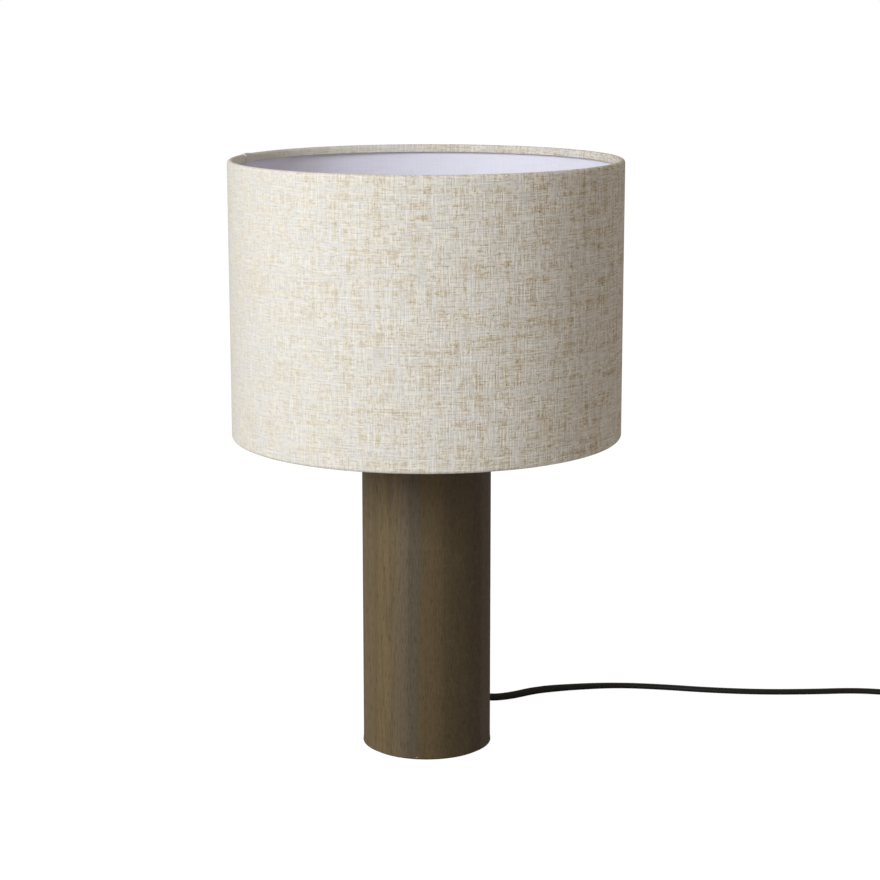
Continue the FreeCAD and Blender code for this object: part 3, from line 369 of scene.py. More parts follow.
@dataclass(frozen=True)
class LiningFinish:
    """White laminated lining with the ghost of the weave behind it."""

    name: str = "white lining"
    white: Colour = (0.835, 0.845, 0.965, 1.0)
    shaded: Colour = (0.765, 0.77, 0.885, 1.0)
    relief_depth: float = 0.00005

    def material(self) -> bpy.types.Material:
        """Makes the lining on its flat map.

        Returns:
            The material.
        """
        shader = Shader(self.name)
        cloth = shader.cloth()
        warp = shader.noise(cloth, (700.0, 40.0, 1.0), detail=2.0)
        weft = shader.noise(cloth, (40.0, 700.0, 1.0), detail=2.0, shift=(3.0, 5.0, 0.0))
        cloud = shader.noise(cloth, (30.0, 30.0, 1.0), detail=3.0)
        share = (warp.ramp(0.4, 0.7) + weft.ramp(0.4, 0.7) + cloud.ramp(0.4, 0.7)) / 3.0
        colour = shader.blend(share, self.white, self.shaded)
        return shader.finish(colour, 0.6 + (cloud - 0.5) * 0.2, warp + weft, self.relief_depth)


@dataclass(frozen=True)
class VeneerFinish:
    """Walnut veneer with upright grain. Past the seam, on the side away from the key lamp, it is
    darkened as painted shade, with a lighter painted band near that edge. Its flat map starts at the
    seam and runs anticlockwise.

    A bare solid has no flat map: its own points are laid on the sheet instead.
    """

    name: str = "walnut veneer"
    laid_at: tuple[float, float, float] | None = None
    olive: Colour = (0.172, 0.124, 0.060, 1.0)
    grey: Colour = (0.130, 0.102, 0.069, 1.0)
    ash: Colour = (0.098, 0.077, 0.054, 1.0)
    moss: Colour = (0.092, 0.080, 0.051, 1.0)
    warm: Colour = (0.113, 0.079, 0.036, 1.0)
    painted_shade: Colour = (0.078, 0.058, 0.028, 1.0)
    plum: Colour = (0.072, 0.050, 0.036, 1.0)
    dark: Colour = (0.050, 0.036, 0.020, 1.0)
    pore: Colour = (0.030, 0.022, 0.013, 1.0)
    core: Colour = (0.45, 0.36, 0.26, 1.0)
    girth: float = math.tau * 0.05
    crown_at: float = -0.024
    relief_depth: float = 0.00006

    def material(self) -> bpy.types.Material:
        """Makes the veneer on its flat map, or on where it is laid.

        Returns:
            The material.
        """
        shader = Shader(self.name)
        sheet = shader.cloth() if self.laid_at is None else shader.laid(self.laid_at)
        around, height, _ = shader.axes(sheet)
        side = around - around.ramp(self.girth / 2 - MM, self.girth / 2 + MM) * self.girth
        band = shader.noise(sheet, (90.0, 1.6, 1.0), detail=2.0, shift=(4.0, 0.0, 0.0))
        sway = shader.noise(sheet, (20.0, 5.0, 1.0), detail=1.0, shift=(6.0, 3.0, 0.0))
        sway = (sway - 0.5) * 0.012
        streak = shader.noise(sheet, (260.0, 4.0, 1.0), detail=3.0, roughness=0.55)
        hair = shader.noise(sheet, (1000.0, 60.0, 1.0), detail=2.0, shift=(8.0, 1.0, 0.0))
        pore = shader.noise(sheet, (1250.0, 130.0, 1.0), detail=1.0, shift=(2.0, 6.0, 0.0))
        pore = pore.ramp(0.50, 0.72)
        fibre = shader.noise(sheet, (1100.0, 300.0, 1.0), detail=1.0, shift=(7.0, 2.0, 0.0))
        fibre = fibre.ramp(0.55, 0.72)
        figure = shader.noise(
            sheet, (150.0, 60.0, 1.0), detail=3.0, roughness=0.6, shift=(1.0, 9.0, 0.0)
        )
        off_crown = abs(side - self.crown_at + sway)
        crown = (height * 60.0 - off_crown * off_crown * 110000.0 + figure * 3.0).sine()
        near_crown = off_crown.ramp(0.018, 0.004)
        drift = side + sway * 0.5
        ground = shader.blend(band.ramp(0.44, 0.60) * 0.40, self.olive, self.grey)
        ground = shader.blend(drift.ramp(-0.020, -0.012) * 0.8, ground, self.grey)
        ground = shader.blend(drift.ramp(-0.012, -0.005) * 0.85, ground, self.ash)
        ground = shader.blend(drift.ramp(-0.005, -0.0015) * 0.6, ground, self.moss)
        ground = shader.blend(drift.ramp(-0.002, 0.004), ground, self.warm)
        # Painted shade: past the seam, on the side away from the key lamp, the veneer turns darker.
        ground = shader.blend(drift.ramp(0.012, 0.026), ground, self.painted_shade)
        ground = shader.blend(drift.ramp(0.038, 0.049) * 0.55, ground, self.plum)
        # Painted light: a lighter band near the far edge of the shaded side.
        ground = shader.blend(drift.ramp(0.053, 0.060), ground, self.ash)
        ground = shader.blend(side.ramp(0.07, 0.11) * band.ramp(0.35, 0.6), ground, self.olive)
        ground = shader.blend(streak.ramp(0.44, 0.74) * 0.22, ground, self.dark)
        ground = shader.blend(hair.ramp(0.42, 0.70) * 0.24, ground, self.dark)
        ground = shader.blend(near_crown * crown.ramp(0.1, 0.95) * 0.20, ground, self.dark)
        ground = shader.blend(figure.ramp(0.50, 0.70) * 0.22, ground, self.grey)
        ground = shader.blend(fibre * 0.30, ground, self.olive)
        ground = shader.blend(pore * 0.34, ground, self.pore)
        seam = abs(side).ramp(0.00055, 0.0001)
        ground = shader.blend(seam * 0.06, ground, self.pore)
        chip = abs(side + 0.0003).ramp(0.0010, 0.0005) * height.ramp(0.0026, 0.0020)
        ground = shader.blend(chip, ground, self.core)
        relief = 0.6 + (hair - 0.5) * 0.5 + (streak - 0.5) * 0.3 - pore * 0.5
        roughness = 0.60 + (streak - 0.5) * 0.2 + pore * 0.12
        return shader.finish(ground, roughness, relief, self.relief_depth, Specular_IOR_Level=0.28)


@dataclass(frozen=True)
class SheathFinish:
    """A matt extruded cord sheath with faint lines along it and a little dust."""

    name: str = "black cord"
    colour: Colour = (0.006, 0.0065, 0.006, 1.0)
    dusty: Colour = (0.015, 0.0155, 0.0145, 1.0)
    relief_depth: float = 0.00003

    def material(self) -> bpy.types.Material:
        """Makes the sheath on its flat map.

        Returns:
            The material.
        """
        shader = Shader(self.name)
        sheet = shader.cloth()
        line = shader.noise(sheet, (12.0, 1500.0, 1.0), detail=2.0)
        dust = shader.noise(sheet, (160.0, 900.0, 1.0), detail=4.0, roughness=0.65)
        colour = shader.blend(dust.ramp(0.45, 0.75), self.colour, self.dusty)
        roughness = 0.44 + (dust - 0.5) * 0.25
        relief = 0.6 * line + 0.4 * dust
        return shader.finish(colour, roughness, relief, self.relief_depth, Specular_IOR_Level=0.3)


FINISHES = {
    "felt": Finish("felt", (0.020, 0.019, 0.019, 1.0), (0.045, 0.043, 0.042, 1.0), 0.95, 0.05,
                   relief_cells=(2600.0, 2600.0, 900.0), relief_depth=0.00025),
    "fibreboard": Finish("fibreboard", (0.34, 0.25, 0.16, 1.0), (0.44, 0.34, 0.23, 1.0), 0.85,
                         relief_cells=(1500.0, 1500.0, 500.0), relief_depth=0.00008),
    "iron": Finish("iron", (0.018, 0.018, 0.019, 1.0), (0.05, 0.048, 0.046, 1.0), 0.6, 0.2,
                   relief_depth=0.0001, relief_cells=(700.0, 700.0, 700.0)),
    "zinc_steel": Finish("zinc steel", (0.60, 0.60, 0.58, 1.0), (0.50, 0.51, 0.52, 1.0), 0.32, 0.18,
                         metallic=1.0, relief_cells=(300.0, 2400.0, 2400.0)),
    "black_plastic": Finish("black plastic", (0.012, 0.012, 0.013, 1.0),
                            (0.022, 0.022, 0.023, 1.0), 0.42, 0.12, relief_depth=0.00003),
    "pale_insulator": Finish("pale insulator", (0.72, 0.69, 0.61, 1.0),
                             (0.64, 0.61, 0.54, 1.0), 0.5),
    "brass": Finish("brass", (0.72, 0.50, 0.20, 1.0), (0.60, 0.42, 0.18, 1.0), 0.28, 0.15,
                    metallic=1.0, relief_cells=(1800.0, 1800.0, 300.0)),
    "brown_sheath": Finish("brown sheath", (0.13, 0.055, 0.025, 1.0),
                           (0.10, 0.045, 0.02, 1.0), 0.45),
    "blue_sheath": Finish("blue sheath", (0.02, 0.09, 0.32, 1.0), (0.02, 0.07, 0.26, 1.0), 0.45),
    "black_tie": Finish("tie band", (0.014, 0.014, 0.014, 1.0), (0.035, 0.034, 0.034, 1.0), 0.7, 0.1,
                        relief_cells=(900.0, 3200.0, 3200.0), relief_depth=0.00012),
    "nickel": Finish("nickel", (0.66, 0.63, 0.58, 1.0), (0.58, 0.56, 0.52, 1.0), 0.22, 0.12,
                     metallic=1.0),
    "white_wire": Finish("white paint", (0.80, 0.80, 0.79, 1.0), (0.74, 0.74, 0.73, 1.0), 0.38, 0.1,
                         relief_cells=(900.0, 900.0, 900.0), relief_depth=0.00004),
    "black_glass": Finish("black glass", (0.010, 0.010, 0.011, 1.0), (0.02, 0.02, 0.022, 1.0),
                          0.12, 0.08, coat=0.3),
    "white_plastic": Finish("white plastic", (0.80, 0.80, 0.78, 1.0), (0.76, 0.76, 0.74, 1.0),
                            0.3, 0.1),
    "opal_white": Finish("opal white", (0.86, 0.86, 0.84, 1.0), (0.81, 0.81, 0.79, 1.0), 0.34, 0.1,
                         coat=0.2, relief_depth=0.000008),
    "linen": LinenFinish(),
    "white_lining": LiningFinish(),
    "walnut_veneer": VeneerFinish(),
    "black_cord": SheathFinish(),
}

# The finishes of solids that stay as they came, without a flat map.
BARE_FINISHES = {
    "walnut_veneer": VeneerFinish(name="walnut veneer top", laid_at=(0.09, 0.06, 0.0)),
}


class Looks:
    """Makes each finish once and hands it out by the record's slot."""

    def __init__(self) -> None:
        """Starts with no finish made."""
        self.made: dict[str, bpy.types.Material] = {}

    def give(self, obj: bpy.types.Object, slot: str, bare: bool = False) -> None:
        """Puts the slot's material on a piece.

        Args:
            obj: The piece.
            slot: Its slot in the record.
            bare: Whether it is a solid as it came, without a flat map.
        """
        finish = BARE_FINISHES.get(slot, FINISHES[slot]) if bare else FINISHES[slot]
        if finish.name not in self.made:
            self.made[finish.name] = finish.material()
        obj.data.materials.clear()
        obj.data.materials.append(self.made[finish.name])


LOOKS = Looks()


# Surfaces


def distances(line: np.ndarray) -> np.ndarray:
    """How far along a line each of its points lies, from 0."""
    return np.concatenate([[0.0], np.cumsum(np.linalg.norm(np.diff(line, axis=0), axis=1))])


def flat_map(rows: np.ndarray, columns: np.ndarray) -> np.ndarray:
    """A grid's flat map, from the places of its rows and of its columns in metres."""
    return np.stack(np.meshgrid(rows, columns, indexing="ij"), axis=2)


def round_points(radius: np.ndarray, azimuth: np.ndarray, height: np.ndarray) -> np.ndarray:
    """Points of a round surface: radius times cosine, radius times sine, height."""
    height = np.broadcast_to(height, radius.shape)
    return np.stack([radius * np.cos(azimuth), radius * np.sin(azimuth), height], axis=2)


def grid_object(
    name: str,
    points: np.ndarray,
    flat: np.ndarray | None = None,
    wrap_rows: bool = False,
    wrap_columns: bool = False,
    smooth_angle: float = 40.0,
    end_caps: bool = False,
) -> bpy.types.Object:
    """A surface of quads over a grid of points, closed where asked, faces outward.

    Args:
        name: The object's name.
        points: Rows by columns by 3, in metres.
        flat: The flat map in metres, one row and column larger where the grid wraps.
        wrap_rows: Joins the last row to the first.
        wrap_columns: Joins the last column to the first.
        smooth_angle: Edges sharper than this many degrees stay sharp.
        end_caps: Closes a wall whose columns run out on one face and back on the other.

    Returns:
        The object, linked to the scene.
    """
    rows, columns = points.shape[:2]
    index = np.arange(rows * columns).reshape(rows, columns)
    index = np.vstack([index, index[:1]]) if wrap_rows else index
    index = np.hstack([index, index[:, :1]]) if wrap_columns else index

    def corners(grid: np.ndarray) -> np.ndarray:
        """The four entries round each square of a grid, in order."""
        return np.stack([grid[:-1, :-1], grid[:-1, 1:], grid[1:, 1:], grid[1:, :-1]], axis=2)

    faces = corners(index).reshape(-1, 4)
    if flat is not None:
        map_corners = corners(flat).reshape(-1, 2)
    if end_caps:
        half = columns // 2
        for row in (0, rows - 1):
            wall = np.stack([index[row, :half], index[row, columns - 1:half - 1:-1]])
            faces = np.vstack([faces, corners(wall).reshape(-1, 4)])
            if flat is not None:
                edge = np.stack([flat[row, :half], flat[row, :half]])
                map_corners = np.vstack([map_corners, corners(edge).reshape(-1, 2)])
    mesh = bpy.data.meshes.new(name)
    mesh.from_pydata(points.reshape(-1, 3).tolist(), [], faces.tolist())
    if flat is not None:
        layer = mesh.uv_layers.new(name="metres")
        layer.data.foreach_set("uv", map_corners.ravel())
    work = bmesh.new()
    work.from_mesh(mesh)
    bmesh.ops.remove_doubles(work, verts=work.verts, dist=1e-7)
    bmesh.ops.recalc_face_normals(work, faces=work.faces)
    work.to_mesh(mesh)
    work.free()
    mesh.shade_smooth()
    mesh.set_sharp_from_angle(angle=math.radians(smooth_angle))
    obj = bpy.data.objects.new(name, mesh)
    bpy.context.scene.collection.objects.link(obj)
    return obj


def placed_on(obj: bpy.types.Object, body: str, slot: str, *replaced: str) -> bpy.types.Object:
    """Gives a piece its body and its slot's material, and hides the solids that it takes the place
    of.

    Args:
        obj: The piece.
        body: The body it moves with.
        slot: Its slot in the record.
        replaced: The solids that it takes the place of.

    Returns:
        The piece.
    """
    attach(obj, body)
    if replaced:
        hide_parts(*replaced)
    LOOKS.give(obj, slot)
    log.info("%s: %d vertices", obj.name, len(obj.data.vertices))
    return obj


def joined(*objects: bpy.types.Object) -> bpy.types.Object:
    """Adds the meshes of the later objects to the first.

    Args:
        objects: The objects. Only the first is left.

    Returns:
        The first object.
    """
    first = objects[0]
    work = bmesh.new()
    for obj in objects:
        work.from_mesh(obj.data)
    work.to_mesh(first.data)
    work.free()
    for obj in objects[1:]:
        bpy.data.objects.remove(obj)
    return first


def rounded(
    corners: Sequence[tuple[float, float, float]], closed: bool, steps: int = 6
) -> np.ndarray:
    """An outline whose corners are arcs: each leaves one side and joins the next at a tangent.

    Args:
        corners: Radius, height and corner radius of each corner.
        closed: Whether the last corner joins the first. The ends of an open one stay sharp.
        steps: Points on each arc, less one.

    Returns:
        The outline's points, n by 2.
    """
    data = np.array(corners, float)
    points, radii = data[:, :2], data[:, 2]
    before, after = np.roll(points, 1, axis=0), np.roll(points, -1, axis=0)
    to_before = (before - points) / np.linalg.norm(before - points, axis=1)[:, None]
    to_after = (after - points) / np.linalg.norm(after - points, axis=1)[:, None]
    half = np.arccos(np.clip((to_before * to_after).sum(axis=1), -0.999999, 0.999999)) / 2
    setback = radii / np.tan(half)
    bisector = to_before + to_after
    bisector = bisector / np.maximum(np.linalg.norm(bisector, axis=1), 1e-9)[:, None]
    centre = points + bisector * (radii / np.sin(half))[:, None]
    start = points + to_before * setback[:, None] - centre
    end = points + to_after * setback[:, None] - centre
    turn = (np.pi - 2 * half)[:, None, None]
    t = np.linspace(0, 1, steps + 1)[None, :, None]
    swing = np.sin((1 - t) * turn) * start[:, None] + np.sin(t * turn) * end[:, None]
    arcs = centre[:, None] + swing / np.maximum(np.sin(turn), 1e-9)
    sharp = radii <= 0
    if not closed:
        sharp[[0, -1]] = True
    pieces = [points[i][None] if sharp[i] else arcs[i] for i in range(len(points))]
    return np.vstack(pieces)


def finely(outline: np.ndarray, step: float, closed: bool) -> np.ndarray:
    """Adds points to an outline's long sides and keeps its own points.

    Args:
        outline: The outline's points, n by 2.
        step: How far apart the added points are, at most.
        closed: Whether the last point joins the first.

    Returns:
        The outline with more points.
    """
    line = np.vstack([outline, outline[:1]]) if closed else outline
    at = distances(line)
    even = np.linspace(0, at[-1], max(2, int(math.ceil(at[-1] / step))) + 1)
    spread = np.abs(even[:, None] - at[None, :]).min(axis=1) > step * 0.3
    stations = np.sort(np.concatenate([at, even[spread]]))
    dense = np.stack([np.interp(stations, at, line[:, k]) for k in range(line.shape[1])], axis=1)
    return dense[:-1] if closed else dense


def turned(name: str, outline: np.ndarray, count: int, relief: Relief) -> bpy.types.Object:
    """A closed outline of (radius, height) turned once about the column's axis.

    Args:
        name: The object's name.
        outline: The outline's points in metres, n by 2. Points on the axis become poles.
        count: How many even steps the turn has.
        relief: Radial offset from azimuth, radius and height, for a thread.

    Returns:
        The object.
    """
    azimuth = np.linspace(0, math.tau, count, endpoint=False)
    shape = (count, len(outline))
    angle = np.broadcast_to(azimuth[:, None], shape)
    radius = np.broadcast_to(outline[None, :, 0], shape)
    height = np.broadcast_to(outline[None, :, 1], shape)
    radius = radius + relief(angle, radius, height)
    flat = flat_map(
        np.append(azimuth, math.tau) * outline[:, 0].max(),
        distances(np.vstack([outline, outline[:1]])),
    )
    points = round_points(radius, angle, height)
    return grid_object(name, points, flat, wrap_rows=True, wrap_columns=True, smooth_angle=60.0)


def smooth_step(x: np.ndarray, low: float, high: float) -> np.ndarray:
    """0 below low, 1 above high, 3t^2 - 2t^3 between."""
    t = np.clip((x - low) / (high - low), 0, 1)
    return t * t * (3 - 2 * t)


def dense_angles(
    count: int, places: Sequence[float], reach: float, fine_count: int
) -> np.ndarray:
    """Even angles over one turn from 0, with finer ones round some places.

    Args:
        count: How many even angles there are.
        places: Where the finer ones are.
        reach: How far they go to either side of a place.
        fine_count: How many there are round each place.

    Returns:
        The angles in order, none twice.
    """
    even = np.linspace(0, math.tau, count, endpoint=False)
    fine = [np.linspace(place - reach, place + reach, fine_count) for place in places]
    angles = np.unique(np.round(np.concatenate([even, *fine]) % math.tau, 6))
    keep = np.concatenate([[True], np.diff(angles) > reach / fine_count / 2])
    return angles[keep]


# Studio


@dataclass(frozen=True)
class SoftLamp:
    """A soft square lamp that looks at a point."""

    name: str
    place: tuple[float, float, float]
    target: tuple[float, float, float]
    size: float
    watts: float
    colour: tuple[float, float, float]

    def build(self) -> None:
        """Makes the lamp."""
        data = bpy.data.lights.new(self.name, "AREA")
        data.size = self.size
        data.energy = self.watts
        data.color = self.colour
        obj = bpy.data.objects.new(self.name, data)
        obj.location = self.place
        look = Vector(self.target) - Vector(self.place)
        obj.rotation_euler = look.to_track_quat("-Z", "Y").to_euler()
        bpy.context.scene.collection.objects.link(obj)


@dataclass(frozen=True)
class Studio:
    """The camera, the lamps, the white surroundings and the floor."""

    camera_place: tuple[float, float, float] = (0.0, -1.758, 0.597)
    camera_pitch: float = 11.388
    camera_roll: float = 0.09
    lens: float = 94.80
    sensor_width: float = 36.0
    shift: float = 0.0162
    far_limit: float = 60.0
    lamps: tuple[SoftLamp, ...] = (
        SoftLamp("key", (-1.396, -1.694, 1.22), (0.0, 0.0, 0.28), 0.9, 39.0, (0.965, 0.99, 1.01)),
        SoftLamp("left edge", (-1.7, 0.5, 0.6), (0.0, 0.0, 0.25), 0.8, 1.5, (0.96, 0.98, 1.0)),
    )
    ambient_colour: Colour = (1.0, 0.885, 0.765, 1.0)
    ambient_strength: float = 0.395
    white: Colour = (1.0, 1.0, 1.0, 1.0)
    floor_half_width: float = 9.0
    floor_height: float = -0.0003
    floor_glow: float = 1.135
    floor_matt_share: float = 0.14
    floor_seen: Colour = (0.9, 0.9, 0.9, 1.0)
    floor_unseen: Colour = (0.6, 0.6, 0.6, 1.0)

    def build(self) -> None:
        """Makes everything that isn't the lamp."""
        bpy.context.scene.view_settings.view_transform = "Standard"
        self.camera()
        for lamp in self.lamps:
            lamp.build()
        self.surroundings()
        self.floor()

    def camera(self) -> None:
        """Makes the photograph's camera."""
        data = bpy.data.cameras.new("camera")
        data.lens = self.lens
        data.sensor_width = self.sensor_width
        data.shift_x = self.shift
        data.clip_end = self.far_limit
        obj = bpy.data.objects.new("camera", data)
        obj.location = self.camera_place
        obj.rotation_euler = Euler(
            (math.radians(90.0 - self.camera_pitch), math.radians(self.camera_roll), 0.0), "XYZ"
        )
        bpy.context.scene.collection.objects.link(obj)
        bpy.context.scene.camera = obj

    def surroundings(self) -> None:
        """A white world to the camera, a soft grey one to everything else."""
        world = bpy.data.worlds.new("surroundings")
        bpy.context.scene.world = world
        world.use_nodes = True
        tree = world.node_tree
        tree.nodes.clear()
        output = tree.nodes.new("ShaderNodeOutputWorld")
        mix = tree.nodes.new("ShaderNodeMixShader")
        path = tree.nodes.new("ShaderNodeLightPath")
        ambient = tree.nodes.new("ShaderNodeBackground")
        white = tree.nodes.new("ShaderNodeBackground")
        ambient.inputs["Color"].default_value = self.ambient_colour
        ambient.inputs["Strength"].default_value = self.ambient_strength
        white.inputs["Color"].default_value = self.white
        white.inputs["Strength"].default_value = 1.0
        tree.links.new(path.outputs["Is Camera Ray"], mix.inputs[0])
        tree.links.new(ambient.outputs[0], mix.inputs[1])
        tree.links.new(white.outputs[0], mix.inputs[2])
        tree.links.new(mix.outputs[0], output.inputs[0])

    def floor(self) -> None:
        """A wide white floor that glows to the camera and keeps a faint shadow."""
        half, z = self.floor_half_width, self.floor_height
        mesh = bpy.data.meshes.new("floor")
        mesh.from_pydata(
            [(-half, -half, z), (half, -half, z), (half, half, z), (-half, half, z)],
            [], [(0, 1, 2, 3)],
        )
        shader = Shader("floor")
        glow = shader.node(
            "ShaderNodeEmission", {}, {"Color": self.white, "Strength": self.floor_glow}
        )
        matt = shader.node("ShaderNodeBsdfDiffuse", {}, {"Color": self.floor_seen})
        seen = shader.node(
            "ShaderNodeMixShader", {},
            {0: self.floor_matt_share, 1: glow.outputs[0], 2: matt.outputs[0]},
        )
        unseen = shader.node("ShaderNodeBsdfDiffuse", {}, {"Color": self.floor_unseen})
        path = shader.node("ShaderNodeLightPath")
        both = shader.node(
            "ShaderNodeMixShader", {},
            {0: path.outputs["Is Camera Ray"], 1: unseen.outputs[0], 2: seen.outputs[0]},
        )
        shader.feed(shader.output.inputs["Surface"], both.outputs[0])
        shader.tree.nodes.remove(shader.surface)
        obj = bpy.data.objects.new("floor", mesh)
        obj.data.materials.append(shader.material)
        bpy.context.scene.collection.objects.link(obj)


# Cords


class Lie(Enum):
    """How a flat cord's wide side stands, as an angle from upright."""

    ON_EDGE = 0.0
    FLAT = math.pi / 2


def lying(flat_share: np.ndarray) -> np.ndarray:
    """The roll of a cord that lies flat where the share is 1 and stands on edge where it is 0."""
    return Lie.ON_EDGE.value * (1 - flat_share) + Lie.FLAT.value * flat_share


@dataclass(frozen=True)
class FlatSection:
    """A flat twin cord's section: two half rounds joined by flats."""

    width: float = 0.0062
    thickness: float = 0.0044
    steps: int = 7

    def outline(self) -> np.ndarray:
        """The section: a half round at each end of the wide side.

        Returns:
            Points (along the wide side, along the thin side), anticlockwise.
        """
        radius = self.thickness / 2
        reach = (self.width - self.thickness) / 2
        angle = np.linspace(-math.pi / 2, math.pi / 2, self.steps)
        half = np.stack([reach + radius * np.cos(angle), radius * np.sin(angle)], axis=1)
        return np.vstack([half, -half])

    def rest_height(self, roll: np.ndarray) -> np.ndarray:
        """How high the centreline lies above the floor at each roll."""
        return (self.width - self.thickness) / 2 * np.abs(np.cos(roll)) + self.thickness / 2


def spline_points(route: np.ndarray, resolution: int = 14) -> np.ndarray:
    """Points along an order 3 spline with the route as its control points.

    Args:
        route: The control points, n by 3.
        resolution: Points on each stretch between two control points.

    Returns:
        The line's points, m by 3.
    """
    curve = bpy.data.curves.new("route", "CURVE")
    curve.dimensions = "3D"
    curve.resolution_u = resolution
    spline = curve.splines.new("NURBS")
    spline.points.add(len(route) - 1)
    spline.points.foreach_set("co", np.hstack([route, np.ones((len(route), 1))]).ravel())
    spline.order_u = 3
    spline.use_endpoint_u = True
    holder = bpy.data.objects.new("route", curve)
    mesh = bpy.data.meshes.new_from_object(holder)
    line = np.empty(len(mesh.vertices) * 3)
    mesh.vertices.foreach_get("co", line)
    bpy.data.objects.remove(holder)
    bpy.data.meshes.remove(mesh)
    return line.reshape(-1, 3)


def evenly(line: np.ndarray, spacing: float) -> tuple[np.ndarray, np.ndarray]:
    """The same line with even spacing.

    Args:
        line: The points, n by 3.
        spacing: The distance between two new points, about.

    Returns:
        The new points, and the distance along the line at each.
    """
    at = distances(line)
    distance = np.linspace(0, at[-1], int(round(at[-1] / spacing)) + 1)
    return np.stack([np.interp(distance, at, line[:, k]) for k in range(3)], axis=1), distance


def unit(vectors: np.ndarray) -> np.ndarray:
    """Each row at length 1."""
    return vectors / np.linalg.norm(vectors, axis=-1, keepdims=True)


def cord_tube(
    name: str,
    line: np.ndarray,
    section: np.ndarray,
    roll: np.ndarray,
    across: np.ndarray | None = None,
) -> bpy.types.Object:
    """A section carried along a line.

    Each ring stands square to the line. Its wide side is turned by the roll from the upright
    direction that is square to the line, or from the one square to the given direction.

    Args:
        name: The object's name.
        line: The centreline, n by 3.
        section: The section's points (wide, thin), k by 2.
        roll: The angle of the wide side at each point.
        across: A direction that stays sideways, for a line that climbs.

    Returns:
        The closed tube.
    """
    forward = unit(np.gradient(line, axis=0))
    if across is None:
        sideways = unit(np.cross(UP, forward))
    else:
        sideways = unit(across - (forward @ across)[:, None] * forward)
    upright = np.cross(forward, sideways)
    cosine, sine = np.cos(roll)[:, None], np.sin(roll)[:, None]
    wide = upright * cosine + sideways * sine
    thin = sideways * cosine - upright * sine
    rings = line[:, None] + section[None, :, :1] * wide[:, None]
    rings = rings + section[None, :, 1:] * thin[:, None]
    ends = np.repeat(line[[0, -1]][:, None], len(section), axis=1)
    points = np.concatenate([ends[:1], rings, ends[1:]])
    distance = distances(line)
    distance = np.concatenate([distance[:1], distance, distance[-1:]])
    around = distances(np.vstack([section, section[:1]]))
    flat = flat_map(distance, around)
    return grid_object(name, points, flat, wrap_columns=True, smooth_angle=60.0)


